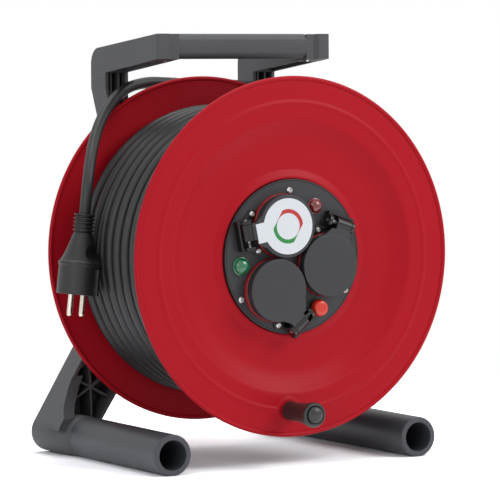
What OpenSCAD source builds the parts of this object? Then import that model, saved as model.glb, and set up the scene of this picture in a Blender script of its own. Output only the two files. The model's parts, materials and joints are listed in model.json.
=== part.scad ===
// Extension cord reel: a sheet steel drum with a socket hub, turning on a fixed axle
// that a moulded stand with two foot tubes and a carrying handle holds.
// The reel stands on the XY plane, with its front towards -Y and the axle along Y.

/* [Drum] */
// Outer diameter of each flange
flange_d = 310; // [300:2:320]
// Distance between the outer planes of the two rolled rims
drum_w = 165; // [155:1:175]
// Thickness of the pressed steel sheet
sheet_t = 1.2; // [1:0.1:1.5]
// Diameter of the rolled rim
rim_d = 4; // [3.5:0.5:4.5]
// Set-back of the sheet's face from the rim plane
face_set = 1.2; // [1:0.1:1.4]
// Radius of the stiffening bead
bead_r = 132; // [126:1:138]
// Height of the stiffening bead
bead_h = 0.8; // [0.5:0.1:1]
// Width of the stiffening bead
bead_w = 7; // [5:0.5:8]
// Radius at which the dish starts
dish_r = 117; // [112:1:122]
// Depth of the dish floor behind the rim plane
dish_depth = 10; // [8:0.5:12]
// Outer diameter of the barrel under the winding
barrel_d = 190; // [186:1:194]
// Radial width of the barrel's turned ends
barrel_lip = 5; // [4:0.5:5]
// Number of screws that hold the hub bearing
hub_screw_count = 6; // [4:1:8]

/* [Socket hub] */
// Outer diameter of the bezel
bezel_d = 133; // [132:0.5:136]
// Diameter of the socket plate
plate_d = 130; // [127:0.5:130.5]
// Thickness of the socket plate
plate_t = 3; // [2.5:0.5:4]
// Depth of the plate's face behind the rim plane
plate_set = 5; // [4.5:0.5:6]
// Depth of the socket housing behind the rim plane
housing_depth = 47; // [44:1:50]
// Wall of the socket housing
housing_wall = 2.5; // [2:0.5:3]
// Distance of each socket's centre from the middle of the pattern
socket_r = 32; // [31.8:0.1:32.3]
// Distance of the pattern's centre below the axle
pattern_drop = 3; // [2:0.5:3]
// Angle of the first socket
socket_turn = -9; // [-12:1:-6]
// Diameter of a socket's well
well_d = 39; // [38.5:0.5:40]
// Depth of a socket's well
well_depth = 17.5; // [16:0.5:19]
// Distance between a socket's two contacts
pin_spacing = 19; // [18:0.5:20]
// Diameter of a contact hole
pin_hole_d = 5.4; // [5:0.1:6]
// Width of an earth clip
clip_w = 4; // [3:0.5:5]
// Outer diameter of the seal round a socket
seal_d = 55; // [54:0.5:55]
// Thickness of the seal
seal_t = 4; // [3:0.5:4.5]

/* [Lids] */
// Diameter of a socket lid
lid_d = 54; // [53:0.5:54.5]
// Height of a socket lid
lid_h = 8; // [7.5:0.5:9]
// Wall of a socket lid
lid_wall = 2.5; // [2:0.5:3]
// Distance from a socket's centre to its hinge
hinge_reach = 37; // [36.5:0.5:37.5]
// Direction of the hinge, from the outward radius of its socket
hinge_turn = 80; // [78:1:82]
// Width of the hinge block
hinge_w = 26; // [25:0.5:27]
// Height of the hinge pin's axis above the plate
hinge_h = 7; // [7:0.1:7.6]
// Diameter of the hinge pin
hinge_pin_d = 3; // [2.5:0.1:3.2]
// Thickness of a hinge ear
ear_t = 3; // [2.5:0.5:3.5]
// Radius of the hinge's knuckle
knuckle_r = 5.3; // [5:0.1:5.4]
// Thickness of the hinge block's foot
foot_t = 1.3; // [1:0.1:1.4]
// Wire diameter of the lid spring
wire_d = 0.7; // [0.6:0.05:0.8]
// Mean radius of the lid spring
coil_r = 2.6; // [2.5:0.1:2.9]
// Number of curls of the lid spring
curls = 3; // [2:1:3]

/* [Lamps and button] */
// Distance of the lamps from the middle of the pattern
lamp_r = 51; // [50:0.5:52]
// Distance of the reset button from the middle of the pattern
button_r = 48.5; // [48.5:0.5:49.5]
// Diameter of the green lamp
green_d = 16; // [14:0.5:16]
// Diameter of the red lamp
red_d = 14; // [12:0.5:16]
// Angle of the green lamp
green_at = 184; // [182:1:186]
// Angle of the red lamp
red_at = 64; // [62:1:65]
// Angle of the reset button
button_at = 300; // [300:1:302]
// Diameter of the reset button
button_d = 16; // [15:0.5:16.5]
// Travel of the reset button
button_travel = 3; // [2:0.5:3]
// Diameter of the reset button's stem
stem_d = 7; // [6:0.5:7.5]

/* [Stand] */
// Height of the axle above the ground
axle_h = 180; // [178:1:186]
// Gap between the drum and the stand
stand_gap = 17; // [16.5:0.5:20]
// Depth of the stand
stand_depth = 28; // [26:1:32]
// Wall of the stand's mouldings
wall = 3; // [2.5:0.5:4]
// Thickness of the ribs
rib = 2; // [1.5:0.5:3]
// Outer diameter of the axle
axle_d = 25; // [24:0.5:26]
// Wall of the axle
axle_wall = 3; // [2.5:0.5:4]
// Diameter of the bearing carrier
carrier_d = 100; // [96:1:104]
// Thickness of the bearing carrier
carrier_t = 6; // [5:0.5:7]
// Length of the carrier's boss in front of the stand
boss_out = 10; // [6:1:12]
// Distance of each foot tube from the middle
foot_x = 122.7; // [118:0.5:126]
// Outer diameter of a foot tube's front end
tube_front_d = 35.2; // [34:0.2:35.6]
// Outer diameter of a foot tube's back end
tube_back_d = 36.4; // [36:0.2:38]
// Bore of a foot tube
tube_bore = 25.5; // [24:0.5:27]
// Distance of a foot tube's front end ahead of the rim plane
tube_out = 4; // [0:1:12]
// Depth of the flat that each foot tube stands on
tube_flat = 0.2; // [0.1:0.1:0.4]
// Length of the spigot inside a foot tube
spigot_l = 32; // [24:1:45]
// Length of the stand's elbow behind each foot tube
elbow_l = 30; // [24:1:34]
// Radius of the leg's heel
heel_r = 18; // [17:0.5:18.5]

/* [Handle] */
// Height of the grip's top above the axle
handle_top = 192; // [190:1:198]
// Height of the grip
grip_h = 22; // [20:1:24]
// Depth of the grip
grip_w = 24; // [20:1:24]
// Radius of the grip's edges
grip_r = 6; // [4:1:8]
// Distance of the grip's front face behind the rim plane
grip_back = 86.5; // [82:0.5:88]
// Distance by which the arms stand ahead of the grip
arm_out = 2.5; // [1.5:0.5:3]
// Length of the tongues at the grip's ends
tongue_l = 12; // [10:1:14]
// Fall of the handle arms from the grip to the stand
arm_fall = 12.4; // [10:0.2:14]
// Height of an arm's side
arm_h = 24; // [22:0.5:26]
// Distance of a post's outer face from the middle
post_x = 87.4; // [84:0.2:90]
// Width of a post
post_w = 22.9; // [20:0.1:24]
// Radius of the arm's rear top corner
arm_round = 15; // [10:1:18]

/* [Crank knob] */
// Distance of the crank knob from the axle
knob_r = 132; // [128:1:138]
// Angle of the crank knob
knob_at = -93; // [-96:1:-90]
// Distance of the knob's tip ahead of the rim plane
knob_out = 47; // [42:1:52]
// Diameter of the knob's waist
knob_d = 16; // [15:0.5:18]
// Diameter of the knob's front end
knob_end_d = 21.5; // [20:0.5:24]
// Diameter of the knob's spindle
spindle_d = 8; // [6:0.5:9]
// Diameter of the knob's domed cap
cap_d = 15; // [13:0.5:15]

/* [Cable] */
// Diameter of the cable
cable_d = 10; // [9:0.5:10.5]
// Gap between neighbouring turns
turn_gap = 5; // [4.5:0.5:5.5]
// Diameter of the plug's lip
plug_d = 38; // [37:0.5:38.5]
// Diameter of the plug's cup, which holds the pins
plug_cup_d = 36.4; // [35:0.2:36.8]
// Turn of the pins about the plug's axis
plug_turn = 30; // [20:1:40]
// Diameter of a plug pin
plug_pin_d = 4.8; // [4:0.1:5]
// Length of a plug pin
plug_pin_l = 19; // [18:0.5:20]

/* [Hidden] */
$fn = 96;

// Clearances: a running fit, a gap between neighbours, an overlap of cutting tools
running = 0.05;
gap = 0.3;
cut = 1;

// The frame of the drum: x to the right, y to the rear from the front rim plane, z up
stand_y = drum_w + stand_gap;
stand_back = stand_y + stand_depth;
front_y = -(stand_back - knob_out) / 2;

// Drum
rim_r = (flange_d - rim_d) / 2;
barrel_r = barrel_d / 2;
floor_back = dish_depth + sheet_t;
dish_floor_r = barrel_r + 3;
hub_screw_r = axle_d / 2 + 19.5;
hub_hole_r = axle_d / 2 + 8.5;
step_w = 3;
step_h = 2.5;
collar_w = 2;
collar_slope = 6.5;
collar_y = 7.5;

// Hub
bezel_r = bezel_d / 2;
plate_r = plate_d / 2;
plate_y = plate_set;
plate_back = plate_y + plate_t;
bezel_edge = 0.5;
bezel_flange = 10;
housing_r = bezel_r - 3;
housing_back = housing_depth;
lead_hole_r = cable_d / 2 + 0.4;
insert_r = well_d / 2 + 3;
insert_rim = 1.5;
insert_back = plate_y + well_depth + wall;
seal_front = plate_y - seal_t;
ledge_w = 5;
plate_screw_r = plate_r - ledge_w;
plate_screw_at = 92.4;
plate_boss_l = 22;
plate_boss_r = 4.6;
plate_boss_w = 7;
plate_screw_l = 14;
screw_d = 3.5;
screw_head_d = 5.6;
screw_head_h = 1.8;

// Lids
lid_back = seal_front - gap;
lid_front = lid_back - lid_h;
pin_y = plate_y - hinge_h;
rail_x = hinge_reach + knuckle_r + 0.6;
rail_t = 2;
hinge_foot = 8;
lug_at = hinge_w / 2 + 3;
lug_r = 4.2;
lug_x = hinge_reach - 10.6;
hinge_screw_d = 3;
spring_l = curls * (wire_d + 0.5);
spring_z = hinge_w / 2 - ear_t - gap - wire_d;
knuckle_top = spring_z - spring_l - wire_d;
knuckle_low = -hinge_w / 2 + ear_t + gap;
label_d = lid_d - 6;
label_t = 0.6;

// Stand
carrier_y = stand_y + 12;
web_t = 6;
boss_r = axle_d / 2 + 9.5;
nut_t = 7;
axle_front = 99;
bearing_front = 105;
bearing_r = axle_d / 2 + 6.5;
bearing_t = 6;
washer_t = 1.5;
groove_y = bearing_front - gap - washer_t - 1.7;
ring_t = 1.6;
foot_z = -axle_h + tube_front_d / 2 - tube_flat;
leg_low = -axle_h + 0.7;
elbow_y = stand_y - elbow_l;
heel = [132.3, leg_low + heel_r];
spigot_r = tube_bore / 2 + 1.2;
screw_ring_r = carrier_d / 2 - 10;
carrier_screws_at = [40, 0, -40];
carrier_screw_d = 3.9;
cap_wall = 2.5;
arm_y = grip_back - arm_out;
arm_z = handle_top - arm_fall;
grip_z = handle_top - grip_h;
grip_screw_x = post_x - post_w + tongue_l / 2;
tongue_w = 12;
tongue_h = 10;
tongue_z = grip_z + (grip_h - tongue_h) / 2;
grip_screw_well = 4.3;
// The arm's front, from its inner side: width flush with the grip, then of its slope
arm_flush = 7.5;
arm_slope = 4;
arm_edge = 2;

// Cable: winding radius, first and last turn, number of turns
wind_r = barrel_r + 30;
core_r = wind_r - cable_d / 2 - 1.5;
core_gap = gap;
first_y = face_set + sheet_t + cable_d / 2 + 2.8;
last_y = 155.5;
turns = (last_y - first_y) / (cable_d + turn_gap);
loop_rings = 24;
wind_sides = 6;
gland_at = 200;
gland_y = 98;

// Route of the free cable from the winding over the rear rim to the plug
CABLE = [
    [125, 155.5, 10], [125, 155.5, 30], [126.2, 155, 57], [127, 153, 82],
    [121, 153.5, 106], [106, 158, 124], [87.2, 165, 136.7], [64.6, 171, 144],
    [41, 173.5, 146.5], [17, 173.5, 147.2], [-6, 173.5, 147.7], [-30, 173, 149.2],
    [-52.6, 171, 149.3], [-75.4, 166.5, 143.8], [-94.6, 159, 130.8],
    [-110.2, 149.5, 114], [-122, 138.5, 96.5], [-131.5, 127, 79.5], [-137.9, 119, 63.5],
    [-141.27, 116, 48], [-142.6, 116, 36.5]
];
cable_sides = 10;
// The plug's axis points from the end of the cable towards the pins
plug_at = CABLE[len(CABLE) - 1];
plug_lean = -6.6;
plug_sleeve_l = 16;
plug_body_l = 26;
plug_cup_l = 28;
plug_rib_pitch = 3.3;
plug_lip_t = 2.5;
plug_pin_seat = 8;
plug_groove = [6, 3];
plug_contact = [5, 1.2];
contact_from = plug_body_l + 5;
// Outline of the plug's body, as parts of the lip's radius and of the body's length
PLUG_FLARE = [[0.42, 0], [0.5, 0.16], [0.58, 0.36], [0.68, 0.56], [0.81, 0.8], [0.93, 0.97]];

// Route of the lead from the gland on the barrel to the socket housing
LEAD = [
    [-60, 98, -22], [-45, 98, -16.5], [-35, 96.5, -13], [-26, 93, -9.5],
    [-17, 87, -6], [-9, 79, -3.5], [-3, 69, -1], [0, 58, 0], [0, 50, 0], [0, 38, 0]
];

// Outline of the right half of the stand, from the heel round the post and back
SIDE = concat(
    [for (a = [-90, -65.6, -41.2, -16.8, 7.6, 32]) heel + heel_r * [cos(a), sin(a)]], [
    [108.8, -89], [57, -4], [57, 10], [81.9, 119.8], [post_x, 145], [post_x, arm_z - 3],
    [post_x - post_w, arm_z - 3], [post_x - post_w, 128], [30, 42], [0, 34], [0, -34],
    [29, -58], [77, -126], [112, leg_low]]);
// Side outline of the web from the leg down to the elbow, as [y, z]
WEB = [[stand_y + 2, -108], [stand_y - 2, -120], [stand_y - 12, -136], [stand_y - 24, -146],
    [stand_y - 24, -156], [stand_y + 2, -156]];
web_from = 112;

// Unit vector along v
function unit(v) = v / norm(v);

// Corner of outline p at i, moved inwards by d along the mitre of its two edges
function edge_normal(a, b) = unit([a[1] - b[1], b[0] - a[0]]);
function mitre(m, n) = (m + n) / (1 + m * n);
function inset(p, d) = [
    for (i = [0 : len(p) - 1])
        p[i] + d * mitre(
            edge_normal(p[(i + len(p) - 1) % len(p)], p[i]),
            edge_normal(p[i], p[(i + 1) % len(p)]))
];

// Direction of the path p at each of its points
function directions(p) = [
    for (i = [0 : len(p) - 1])
        i == 0 ? unit(p[1] - p[0])
        : i == len(p) - 1 ? unit(p[i] - p[i - 1])
        : unit(unit(p[i + 1] - p[i]) + unit(p[i] - p[i - 1]))
];

// The side vector u carried along the directions t without twist
function carried(t, u) = [
    for (i = 0, v = unit(u - (u * t[0]) * t[0]); i < len(t);
        i = i + 1, v = i < len(t) ? unit(v - (v * t[i]) * t[i]) : v) v
];

// Points of one helix about z: radius r, from z0, rise per turn, number of turns
function helix(r, z0, rise, n, rings) = [
    for (i = [0 : round(n * rings)])
        let (a = 360 * n * i / round(n * rings))
        [r * cos(a), r * sin(a), z0 + rise * n * i / round(n * rings)]
];

// The path p with a straight piece of length l added at both ends
function with_tails(p, l) = concat(
    [p[0] - l * tail_start(p)], p, [p[len(p) - 1] + l * tail_end(p)]);
function tail_start(p) = unit([-p[0][1], p[0][0], 0]);
function tail_end(p) = let (q = p[len(p) - 1]) unit([-q[1], q[0], 0]);

// Least distance between rings one turn apart, less the tube's diameter
function self_gap(p, rings, d) =
    min([for (i = [0 : len(p) - rings - 1]) norm(p[i + rings] - p[i])]) - d;

// A closed tube of diameter d and n sides along the path p
module tube(p, d, n, up = [0, 1, 0]) {
    t = directions(p);
    u = carried(t, up);
    rings = [
        for (i = [0 : len(p) - 1], k = [0 : n - 1])
            p[i] + d / 2 * (cos(360 * k / n) * u[i] + sin(360 * k / n) * cross(t[i], u[i]))
    ];
    last = (len(p) - 1) * n;
    polyhedron(concat(rings, [p[0], p[len(p) - 1]]), concat(
        [for (k = [0 : n - 1]) [len(rings), k, (k + 1) % n]],
        [for (k = [0 : n - 1]) [len(rings) + 1, last + (k + 1) % n, last + k]],
        [for (i = [0 : len(p) - 2], k = [0 : n - 1])
            [i * n + k, (i + 1) * n + k, (i + 1) * n + (k + 1) % n]],
        [for (i = [0 : len(p) - 2], k = [0 : n - 1])
            [i * n + k, (i + 1) * n + (k + 1) % n, i * n + (k + 1) % n]]));
}

// Placing: the drum's frame, an axis to the rear, and an angle seen from the front
module placed() translate([0, front_y, axle_h]) children();
module along_y(y = 0) translate([0, y, 0]) rotate([-90, 0, 0]) children();
module polar(angle, r = 0) rotate([0, -angle, 0]) translate([r, 0, 0]) children();
module turned(points) along_y() rotate_extrude() polygon(points);
module disc(r, y0, y1) along_y(y0) cylinder(r = r, h = y1 - y0);
module ring(r0, r1, y0, y1) turned([[r0, y0], [r1, y0], [r1, y1], [r0, y1]]);

// A pan-head screw: its seat at y = 0, the head towards -y and the shank towards +y
module screw(d, l, head_d, head_h) difference() {
    turned([[0, -head_h], [head_d * 0.34, -head_h], [head_d / 2, -head_h * 0.45],
        [head_d / 2, 0], [d / 2, 0], [d / 2, l], [0, l]]);
    translate([-head_d * 0.3, -head_h - cut, -head_d * 0.06])
        cube([head_d * 0.6, cut + head_h * 0.45, head_d * 0.12]);
    translate([-head_d * 0.06, -head_h - cut, -head_d * 0.3])
        cube([head_d * 0.12, cut + head_h * 0.45, head_d * 0.6]);
}

// Frame of socket i: origin at its centre, +x towards its hinge
module at_socket(i) in_pattern(socket_turn + 120 * i, socket_r)
    rotate([0, -hinge_turn, 0]) children();
module in_pattern(angle, r) translate([0, 0, -pattern_drop]) polar(angle, r) children();

// ---- Drum ----

// Front face of the flange sheet from the rim to the radius r_in, as [radius, y]
function sheet_face(r_in) = [
    [rim_r, rim_d / 2 - sheet_t / 2], [rim_r - 8, face_set], [dish_r, face_set],
    [dish_r - step_w, face_set + step_h], [dish_r - 13, dish_depth * 0.74],
    [dish_floor_r, dish_depth], [r_in, dish_depth]
];

// A pressed flange with a rolled rim and a dish down to the radius r_in
module flange(r_in) {
    face = sheet_face(r_in);
    turned(concat(face, [for (i = [len(face) - 1 : -1 : 0]) face[i] + [0, sheet_t]]));
    along_y(rim_d / 2) rotate_extrude() translate([rim_r, 0]) circle(d = rim_d);
}

// The stiffening bead of the front flange
module bead() turned([[bead_r - bead_w / 2, face_set + sheet_t / 2],
    [bead_r - bead_w / 2, face_set], [bead_r - bead_w / 4, face_set - bead_h * 0.8],
    [bead_r, face_set - bead_h], [bead_r + bead_w / 4, face_set - bead_h * 0.8],
    [bead_r + bead_w / 2, face_set], [bead_r + bead_w / 2, face_set + sheet_t / 2]]);

module front_flange() color("#b5212d") placed() difference() {
    union() {
        flange(bezel_r + gap);
        bead();
        collar(bezel_r + gap);
        polar(knob_at, knob_r) disc(knob_end_d / 2 + 2, face_set - bead_h, face_set + sheet_t / 2);
    }
    polar(knob_at, knob_r) disc(spindle_d / 2, -cut * 2, rim_d);
}

// The turned-up edge round the hub, which slopes back to the dish
module collar(r) turned([[r, collar_y], [r + collar_w, collar_y],
    [r + collar_w + collar_slope, dish_depth], [r + collar_w + collar_slope, floor_back],
    [r, floor_back]]);

module rear_flange() color("#b5212d") placed()
    translate([0, drum_w, 0]) mirror([0, 1, 0]) difference() {
        flange(hub_hole_r);
        for (i = [0 : hub_screw_count - 1])
            polar(360 / hub_screw_count * i, hub_screw_r)
                disc(screw_d / 2 + running, 0, floor_back + cut);
    }

module drum_barrel() color("#b5212d") placed() difference() {
    union() {
        ring(barrel_r - sheet_t, barrel_r, floor_back, drum_w - floor_back);
        ring(barrel_r - barrel_lip, barrel_r, floor_back, floor_back + sheet_t);
        ring(barrel_r - barrel_lip, barrel_r, drum_w - floor_back - sheet_t,
            drum_w - floor_back);
    }
    polar(gland_at, barrel_r) translate([-10, gland_y, 0]) rotate([0, 90, 0])
        cylinder(r = cable_d / 2 + 2 + running, h = 20);
}

module hub_bearing() color("#2c2c2e") placed() {
    bore = axle_d / 2 + running;
    seat = drum_w - floor_back;
    difference() {
        turned([[bore, bearing_front], [bearing_r, bearing_front],
            [bearing_r, seat - bearing_t], [hub_screw_r + 6, seat - bearing_t],
            [hub_screw_r + 6, seat], [hub_hole_r - gap, seat],
            [hub_hole_r - gap, seat + bearing_t], [bearing_r - 2, seat + bearing_t],
            [bearing_r - 2, stand_y - boss_out - gap], [bore, stand_y - boss_out - gap]]);
        for (i = [0 : hub_screw_count - 1])
            polar(360 / hub_screw_count * i, hub_screw_r)
                disc(screw_d / 2 + running, seat - 5, seat + cut);
    }
}

module hub_screws() color("silver") placed()
    for (i = [0 : hub_screw_count - 1])
        polar(360 / hub_screw_count * i, hub_screw_r)
            translate([0, drum_w - dish_depth, 0]) mirror([0, 1, 0])
                screw(screw_d, 6, 7, 2.2);

// ---- Cable ----

module cable_core() color("#1d1d1e") placed() difference() {
    ring(barrel_r + core_gap, core_r, floor_back + gap, drum_w - floor_back - gap);
    polar(gland_at, barrel_r) translate([-2, gland_y, 0]) rotate([0, 90, 0])
        cylinder(r = cable_d / 2 + 5, h = 7);
}

module cable_winding() color("#232324") placed() {
    coil = helix(wind_r, first_y, cable_d + turn_gap, turns, loop_rings);
    start = -360 * turns;
    echo(str("winding, least gap between turns: ", self_gap(coil, loop_rings, cable_d)));
    // The helix about z is laid along y so that its last point comes to x = wind_r, z = 0
    points = [
        for (q = with_tails(coil, cable_d))
            [q[0] * cos(start) - q[1] * sin(start), q[2], q[0] * sin(start) + q[1] * cos(start)]
    ];
    tube(points, cable_d, wind_sides);
}

module free_cable() color("#232324") placed() tube(CABLE, cable_d, cable_sides);

module cable_gland() color("#1d1d1e") placed()
    polar(gland_at, barrel_r) translate([0, gland_y, 0]) rotate([0, 90, 0]) difference() {
        union() {
            translate([0, 0, -7]) cylinder(r = cable_d / 2 + 2, h = 7);
            translate([0, 0, gap]) cylinder(r = cable_d / 2 + 4.5, h = 3);
            translate([0, 0, -sheet_t]) cylinder(r = cable_d / 2 + 2, h = sheet_t + gap);
            translate([0, 0, -6]) cylinder(r = cable_d / 2 + 4, h = 5.2 - sheet_t);
        }
        translate([0, 0, -8]) cylinder(r = cable_d / 2 + running, h = 3);
    }

module inner_lead() color("#1d1d1e") placed()
    tube(concat([gland_inlet()], LEAD), cable_d - 0.6, cable_sides);
// Centre of the gland's inner mouth, where the lead starts
function gland_inlet() = [
    (barrel_r - 5.2) * cos(gland_at), gland_y, (barrel_r - 5.2) * sin(gland_at)];

module terminal_block() color("#d9d4c4") placed() difference() {
    translate([-16, housing_back - housing_wall - 14, -11]) cube([32, 14, 22]);
    disc(lead_hole_r, housing_back - housing_wall - 9.4, housing_back);
    for (x = [-10, 0, 10])
        translate([x, housing_back - housing_wall - 14 - cut, 6]) along_y()
            cylinder(r = 1.8, h = 4);
}

// ---- Plug ----

// Frame of the plug: origin at the end of the cable, +z towards the pins
module at_plug() placed() translate(plug_at) rotate([0, -plug_lean, 0])
    rotate([0, 0, plug_turn]) mirror([0, 0, 1]) children();

module plug_sleeve() color("#1b1b1c") at_plug() {
    cylinder(r1 = cable_d / 2 + 2.4, r2 = cable_d / 2 + 3, h = plug_sleeve_l);
    for (i = [0 : floor((plug_sleeve_l - 1) / plug_rib_pitch)])
        translate([0, 0, i * plug_rib_pitch])
            cylinder(r = cable_d / 2 + 4.2, h = plug_rib_pitch / 2);
}

module plug_body() color("#1b1b1c") at_plug() translate([0, 0, plug_sleeve_l]) difference() {
    cup_r = plug_cup_d / 2;
    total = plug_body_l + plug_cup_l;
    rotate_extrude() polygon(concat([[0, 0]],
        [for (q = PLUG_FLARE) [q[0] * plug_d / 2, q[1] * plug_body_l]],
        [[plug_d / 2, plug_body_l], [plug_d / 2, plug_body_l + plug_lip_t],
            [cup_r, plug_body_l + plug_lip_t + 0.5], [cup_r, total], [0, total]]));
    for (s = [-1, 1]) {
        translate([0, s * plug_d * 0.6, plug_body_l * 0.55]) rotate([0, 90, 0])
            cylinder(d = plug_d * 0.66, h = plug_d, center = true);
        translate([s * pin_spacing / 2, 0, total - plug_pin_seat])
            cylinder(d = plug_pin_d, h = plug_pin_seat + cut);
        translate([0, s * (cup_r - 0.4), contact_from + plug_cup_l / 2])
            cube([plug_groove[0], plug_groove[1], plug_cup_l], center = true);
    }
}

module plug_pins() color("silver") at_plug()
    for (s = [-1, 1])
        translate([s * pin_spacing / 2, 0,
            plug_sleeve_l + plug_body_l + plug_cup_l - plug_pin_seat]) {
            straight = plug_pin_seat + plug_pin_l - plug_pin_d / 3;
            cylinder(d = plug_pin_d, h = straight);
            translate([0, 0, straight])
                cylinder(d1 = plug_pin_d, d2 = plug_pin_d * 0.55, h = plug_pin_d / 3);
        }

module plug_earth_contacts() color("silver") at_plug()
    for (s = [-1, 1])
        translate([0, s * (plug_cup_d / 2 - 1.3),
            plug_sleeve_l + contact_from + plug_cup_l / 2 - 3])
            cube([plug_contact[0], plug_contact[1], plug_cup_l - 6], center = true);

// ---- Socket hub ----

module socket_housing() color("#262628") placed() difference() {
    union() {
        turned([[plate_r + gap, plate_y], [bezel_r - bezel_edge, plate_y],
            [bezel_r, plate_y + bezel_edge], [bezel_r, floor_back],
            [bezel_r + bezel_flange, floor_back], [bezel_r + bezel_flange, floor_back + wall],
            [housing_r, floor_back + wall],
            [housing_r, housing_back], [lead_hole_r, housing_back],
            [lead_hole_r, housing_back - housing_wall],
            [housing_r - housing_wall, housing_back - housing_wall],
            [housing_r - housing_wall, plate_back + wall],
            [plate_r - ledge_w, plate_back + wall], [plate_r - ledge_w, plate_back],
            [plate_r + gap, plate_back]]);
        for (i = [0 : 2])
            in_pattern(plate_screw_at + 120 * i, plate_screw_r) {
                disc(plate_boss_r, plate_back + gap, plate_back + plate_boss_l);
                translate([0, plate_back + gap, -plate_boss_w / 2])
                    cube([plate_boss_r - gap / 2, plate_boss_l - 2 * gap, plate_boss_w]);
            }
    }
    for (i = [0 : 2])
        in_pattern(plate_screw_at + 120 * i, plate_screw_r)
            disc(screw_d / 2 + running, plate_y, plate_y + plate_screw_l + gap);
}

module socket_plate() color("#444648") placed() difference() {
    disc(plate_r, plate_y, plate_back);
    for (i = [0 : 2]) {
        at_socket(i) disc(insert_r + 0.1, plate_y - cut, plate_back + cut);
        in_pattern(plate_screw_at + 120 * i, plate_screw_r)
            disc(screw_d / 2 + 0.2, plate_y - cut, plate_back + cut);
        at_socket(i) for (s = [-1, 1])
            translate([lug_x, 0, s * lug_at])
                disc(hinge_screw_d / 2 + running, plate_y - cut, plate_back + cut);
    }
    in_pattern(green_at, lamp_r) disc(green_d / 2 - 2 + 0.1, plate_y - cut, plate_back + cut);
    in_pattern(red_at, lamp_r) disc(red_d / 2 - 2 + 0.1, plate_y - cut, plate_back + cut);
    in_pattern(button_at, button_r) disc(bush_r + 0.1, plate_y - cut, plate_back + cut);
}

module plate_screws() color("silver") placed()
    for (i = [0 : 2])
        in_pattern(plate_screw_at + 120 * i, plate_screw_r) translate([0, plate_y, 0])
            screw(screw_d, plate_screw_l, screw_head_d, screw_head_h);

module socket_insert(i) color("#1f1f21") placed() at_socket(i) difference() {
    union() {
        disc(insert_r, plate_y, insert_back);
        disc(insert_r + insert_rim, plate_back, plate_back + 2);
    }
    disc(well_d / 2, plate_y - cut, plate_y + well_depth);
    for (s = [-1, 1])
        translate([s * pin_spacing / 2, 0, 0])
            disc(pin_hole_d / 2, plate_y, insert_back + cut);
}

module seal_ring(i) color("#b0202a") placed() at_socket(i)
    ring(insert_r - 2, seal_d / 2, seal_front, plate_y);

module earth_clips() color("#c8a24a") placed()
    for (i = [0 : 2], s = [-1, 1])
        at_socket(i) mirror([0, 0, s > 0 ? 0 : 1]) {
            translate([-clip_w / 2, plate_y + 3, well_d / 2 - 2.3])
                cube([clip_w, well_depth - 3, 1]);
            translate([-clip_w / 2, plate_y + well_depth - 1.2, well_d / 2 - 4.5])
                cube([clip_w, 1.2, 3]);
        }

// ---- Lids and hinges ----

// A foot with two screwed lugs, a rail at the back and two ears for the pin
module hinge_block(i) color("#1f1f21") placed() at_socket(i) difference() {
    rise = plate_y - pin_y;
    union() {
        translate([hinge_reach - hinge_foot, plate_y - foot_t, -hinge_w / 2])
            cube([rail_x + rail_t - hinge_reach + hinge_foot, foot_t, hinge_w]);
        translate([rail_x, pin_y, -hinge_w / 2]) cube([rail_t, rise, hinge_w]);
        for (s = [-1, 1]) {
            translate([lug_x, 0, s * lug_at]) disc(lug_r, plate_y - foot_t, plate_y);
            plate([[lug_x, s * (lug_at + lug_r)], [hinge_reach, s * hinge_w / 2],
                [hinge_reach, 0], [lug_x, s * (lug_at - lug_r)]], plate_y - foot_t, plate_y);
        }
        for (z = [-hinge_w / 2, hinge_w / 2 - ear_t]) {
            translate([hinge_reach, pin_y, z]) cylinder(r = knuckle_r, h = ear_t);
            translate([hinge_reach - knuckle_r, pin_y, z])
                cube([rail_x + rail_t - hinge_reach + knuckle_r, rise, ear_t]);
        }
    }
    translate([hinge_reach, pin_y, -hinge_w])
        cylinder(r = hinge_pin_d / 2 + running / 2, h = 2 * hinge_w);
    disc(seal_d / 2 + gap, plate_y - foot_t - cut, plate_y + cut);
    for (s = [-1, 1])
        translate([lug_x, 0, s * lug_at])
            disc(hinge_screw_d / 2 + running, plate_y - foot_t - cut, plate_y + cut);
}

module hinge_screws() color("silver") placed()
    for (i = [0 : 2], s = [-1, 1])
        at_socket(i) translate([lug_x, plate_y - foot_t, s * lug_at])
            screw(hinge_screw_d, foot_t + plate_t - running, 5, 1.6);

module hinge_pin(i) color("silver") placed() at_socket(i)
    translate([hinge_reach, pin_y, -hinge_w / 2 - 0.5])
        cylinder(d = hinge_pin_d, h = hinge_w + 1);

module lid_spring(i) color("silver") placed() at_socket(i)
    translate([hinge_reach, pin_y, spring_z - spring_l]) {
        coil = helix(coil_r, 0, wire_d + 0.5, curls, 8);
        if (i == 0) echo(str("lid spring, least gap: ", self_gap(coil, 8, wire_d)));
        tube(with_tails(coil, wire_d), wire_d, 6, [0, 0, 1]);
    }

// A cap over the socket, with a flap and a knuckle on the hinge pin
module lid(i) color("#444648") placed() at_socket(i) {
    r = lid_d / 2;
    turned([[0, lid_front], [r - 1.4, lid_front], [r - 0.4, lid_front + 0.5],
        [r, lid_front + 1.5], [r, lid_back], [r - lid_wall, lid_back],
        [r - lid_wall, lid_front + lid_wall], [0, lid_front + lid_wall]]);
    flap_end = hinge_reach - knuckle_r - 0.6;
    plate([[r - 7, 15], [r - 2, 13], [flap_end, 8.5], [flap_end, -8.5], [r - 2, -13],
        [r - 7, -15]], lid_front, lid_front + lid_wall);
    difference() {
        union() {
            translate([hinge_reach, pin_y, knuckle_low])
                cylinder(r = knuckle_r, h = knuckle_top - knuckle_low);
            translate([r - lid_wall, pin_y - knuckle_r, knuckle_low])
                cube([hinge_reach - r + lid_wall, knuckle_r, knuckle_top - knuckle_low]);
        }
        translate([hinge_reach, pin_y, -hinge_w])
            cylinder(r = hinge_pin_d / 2 + running, h = 2 * hinge_w);
    }
}

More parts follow.
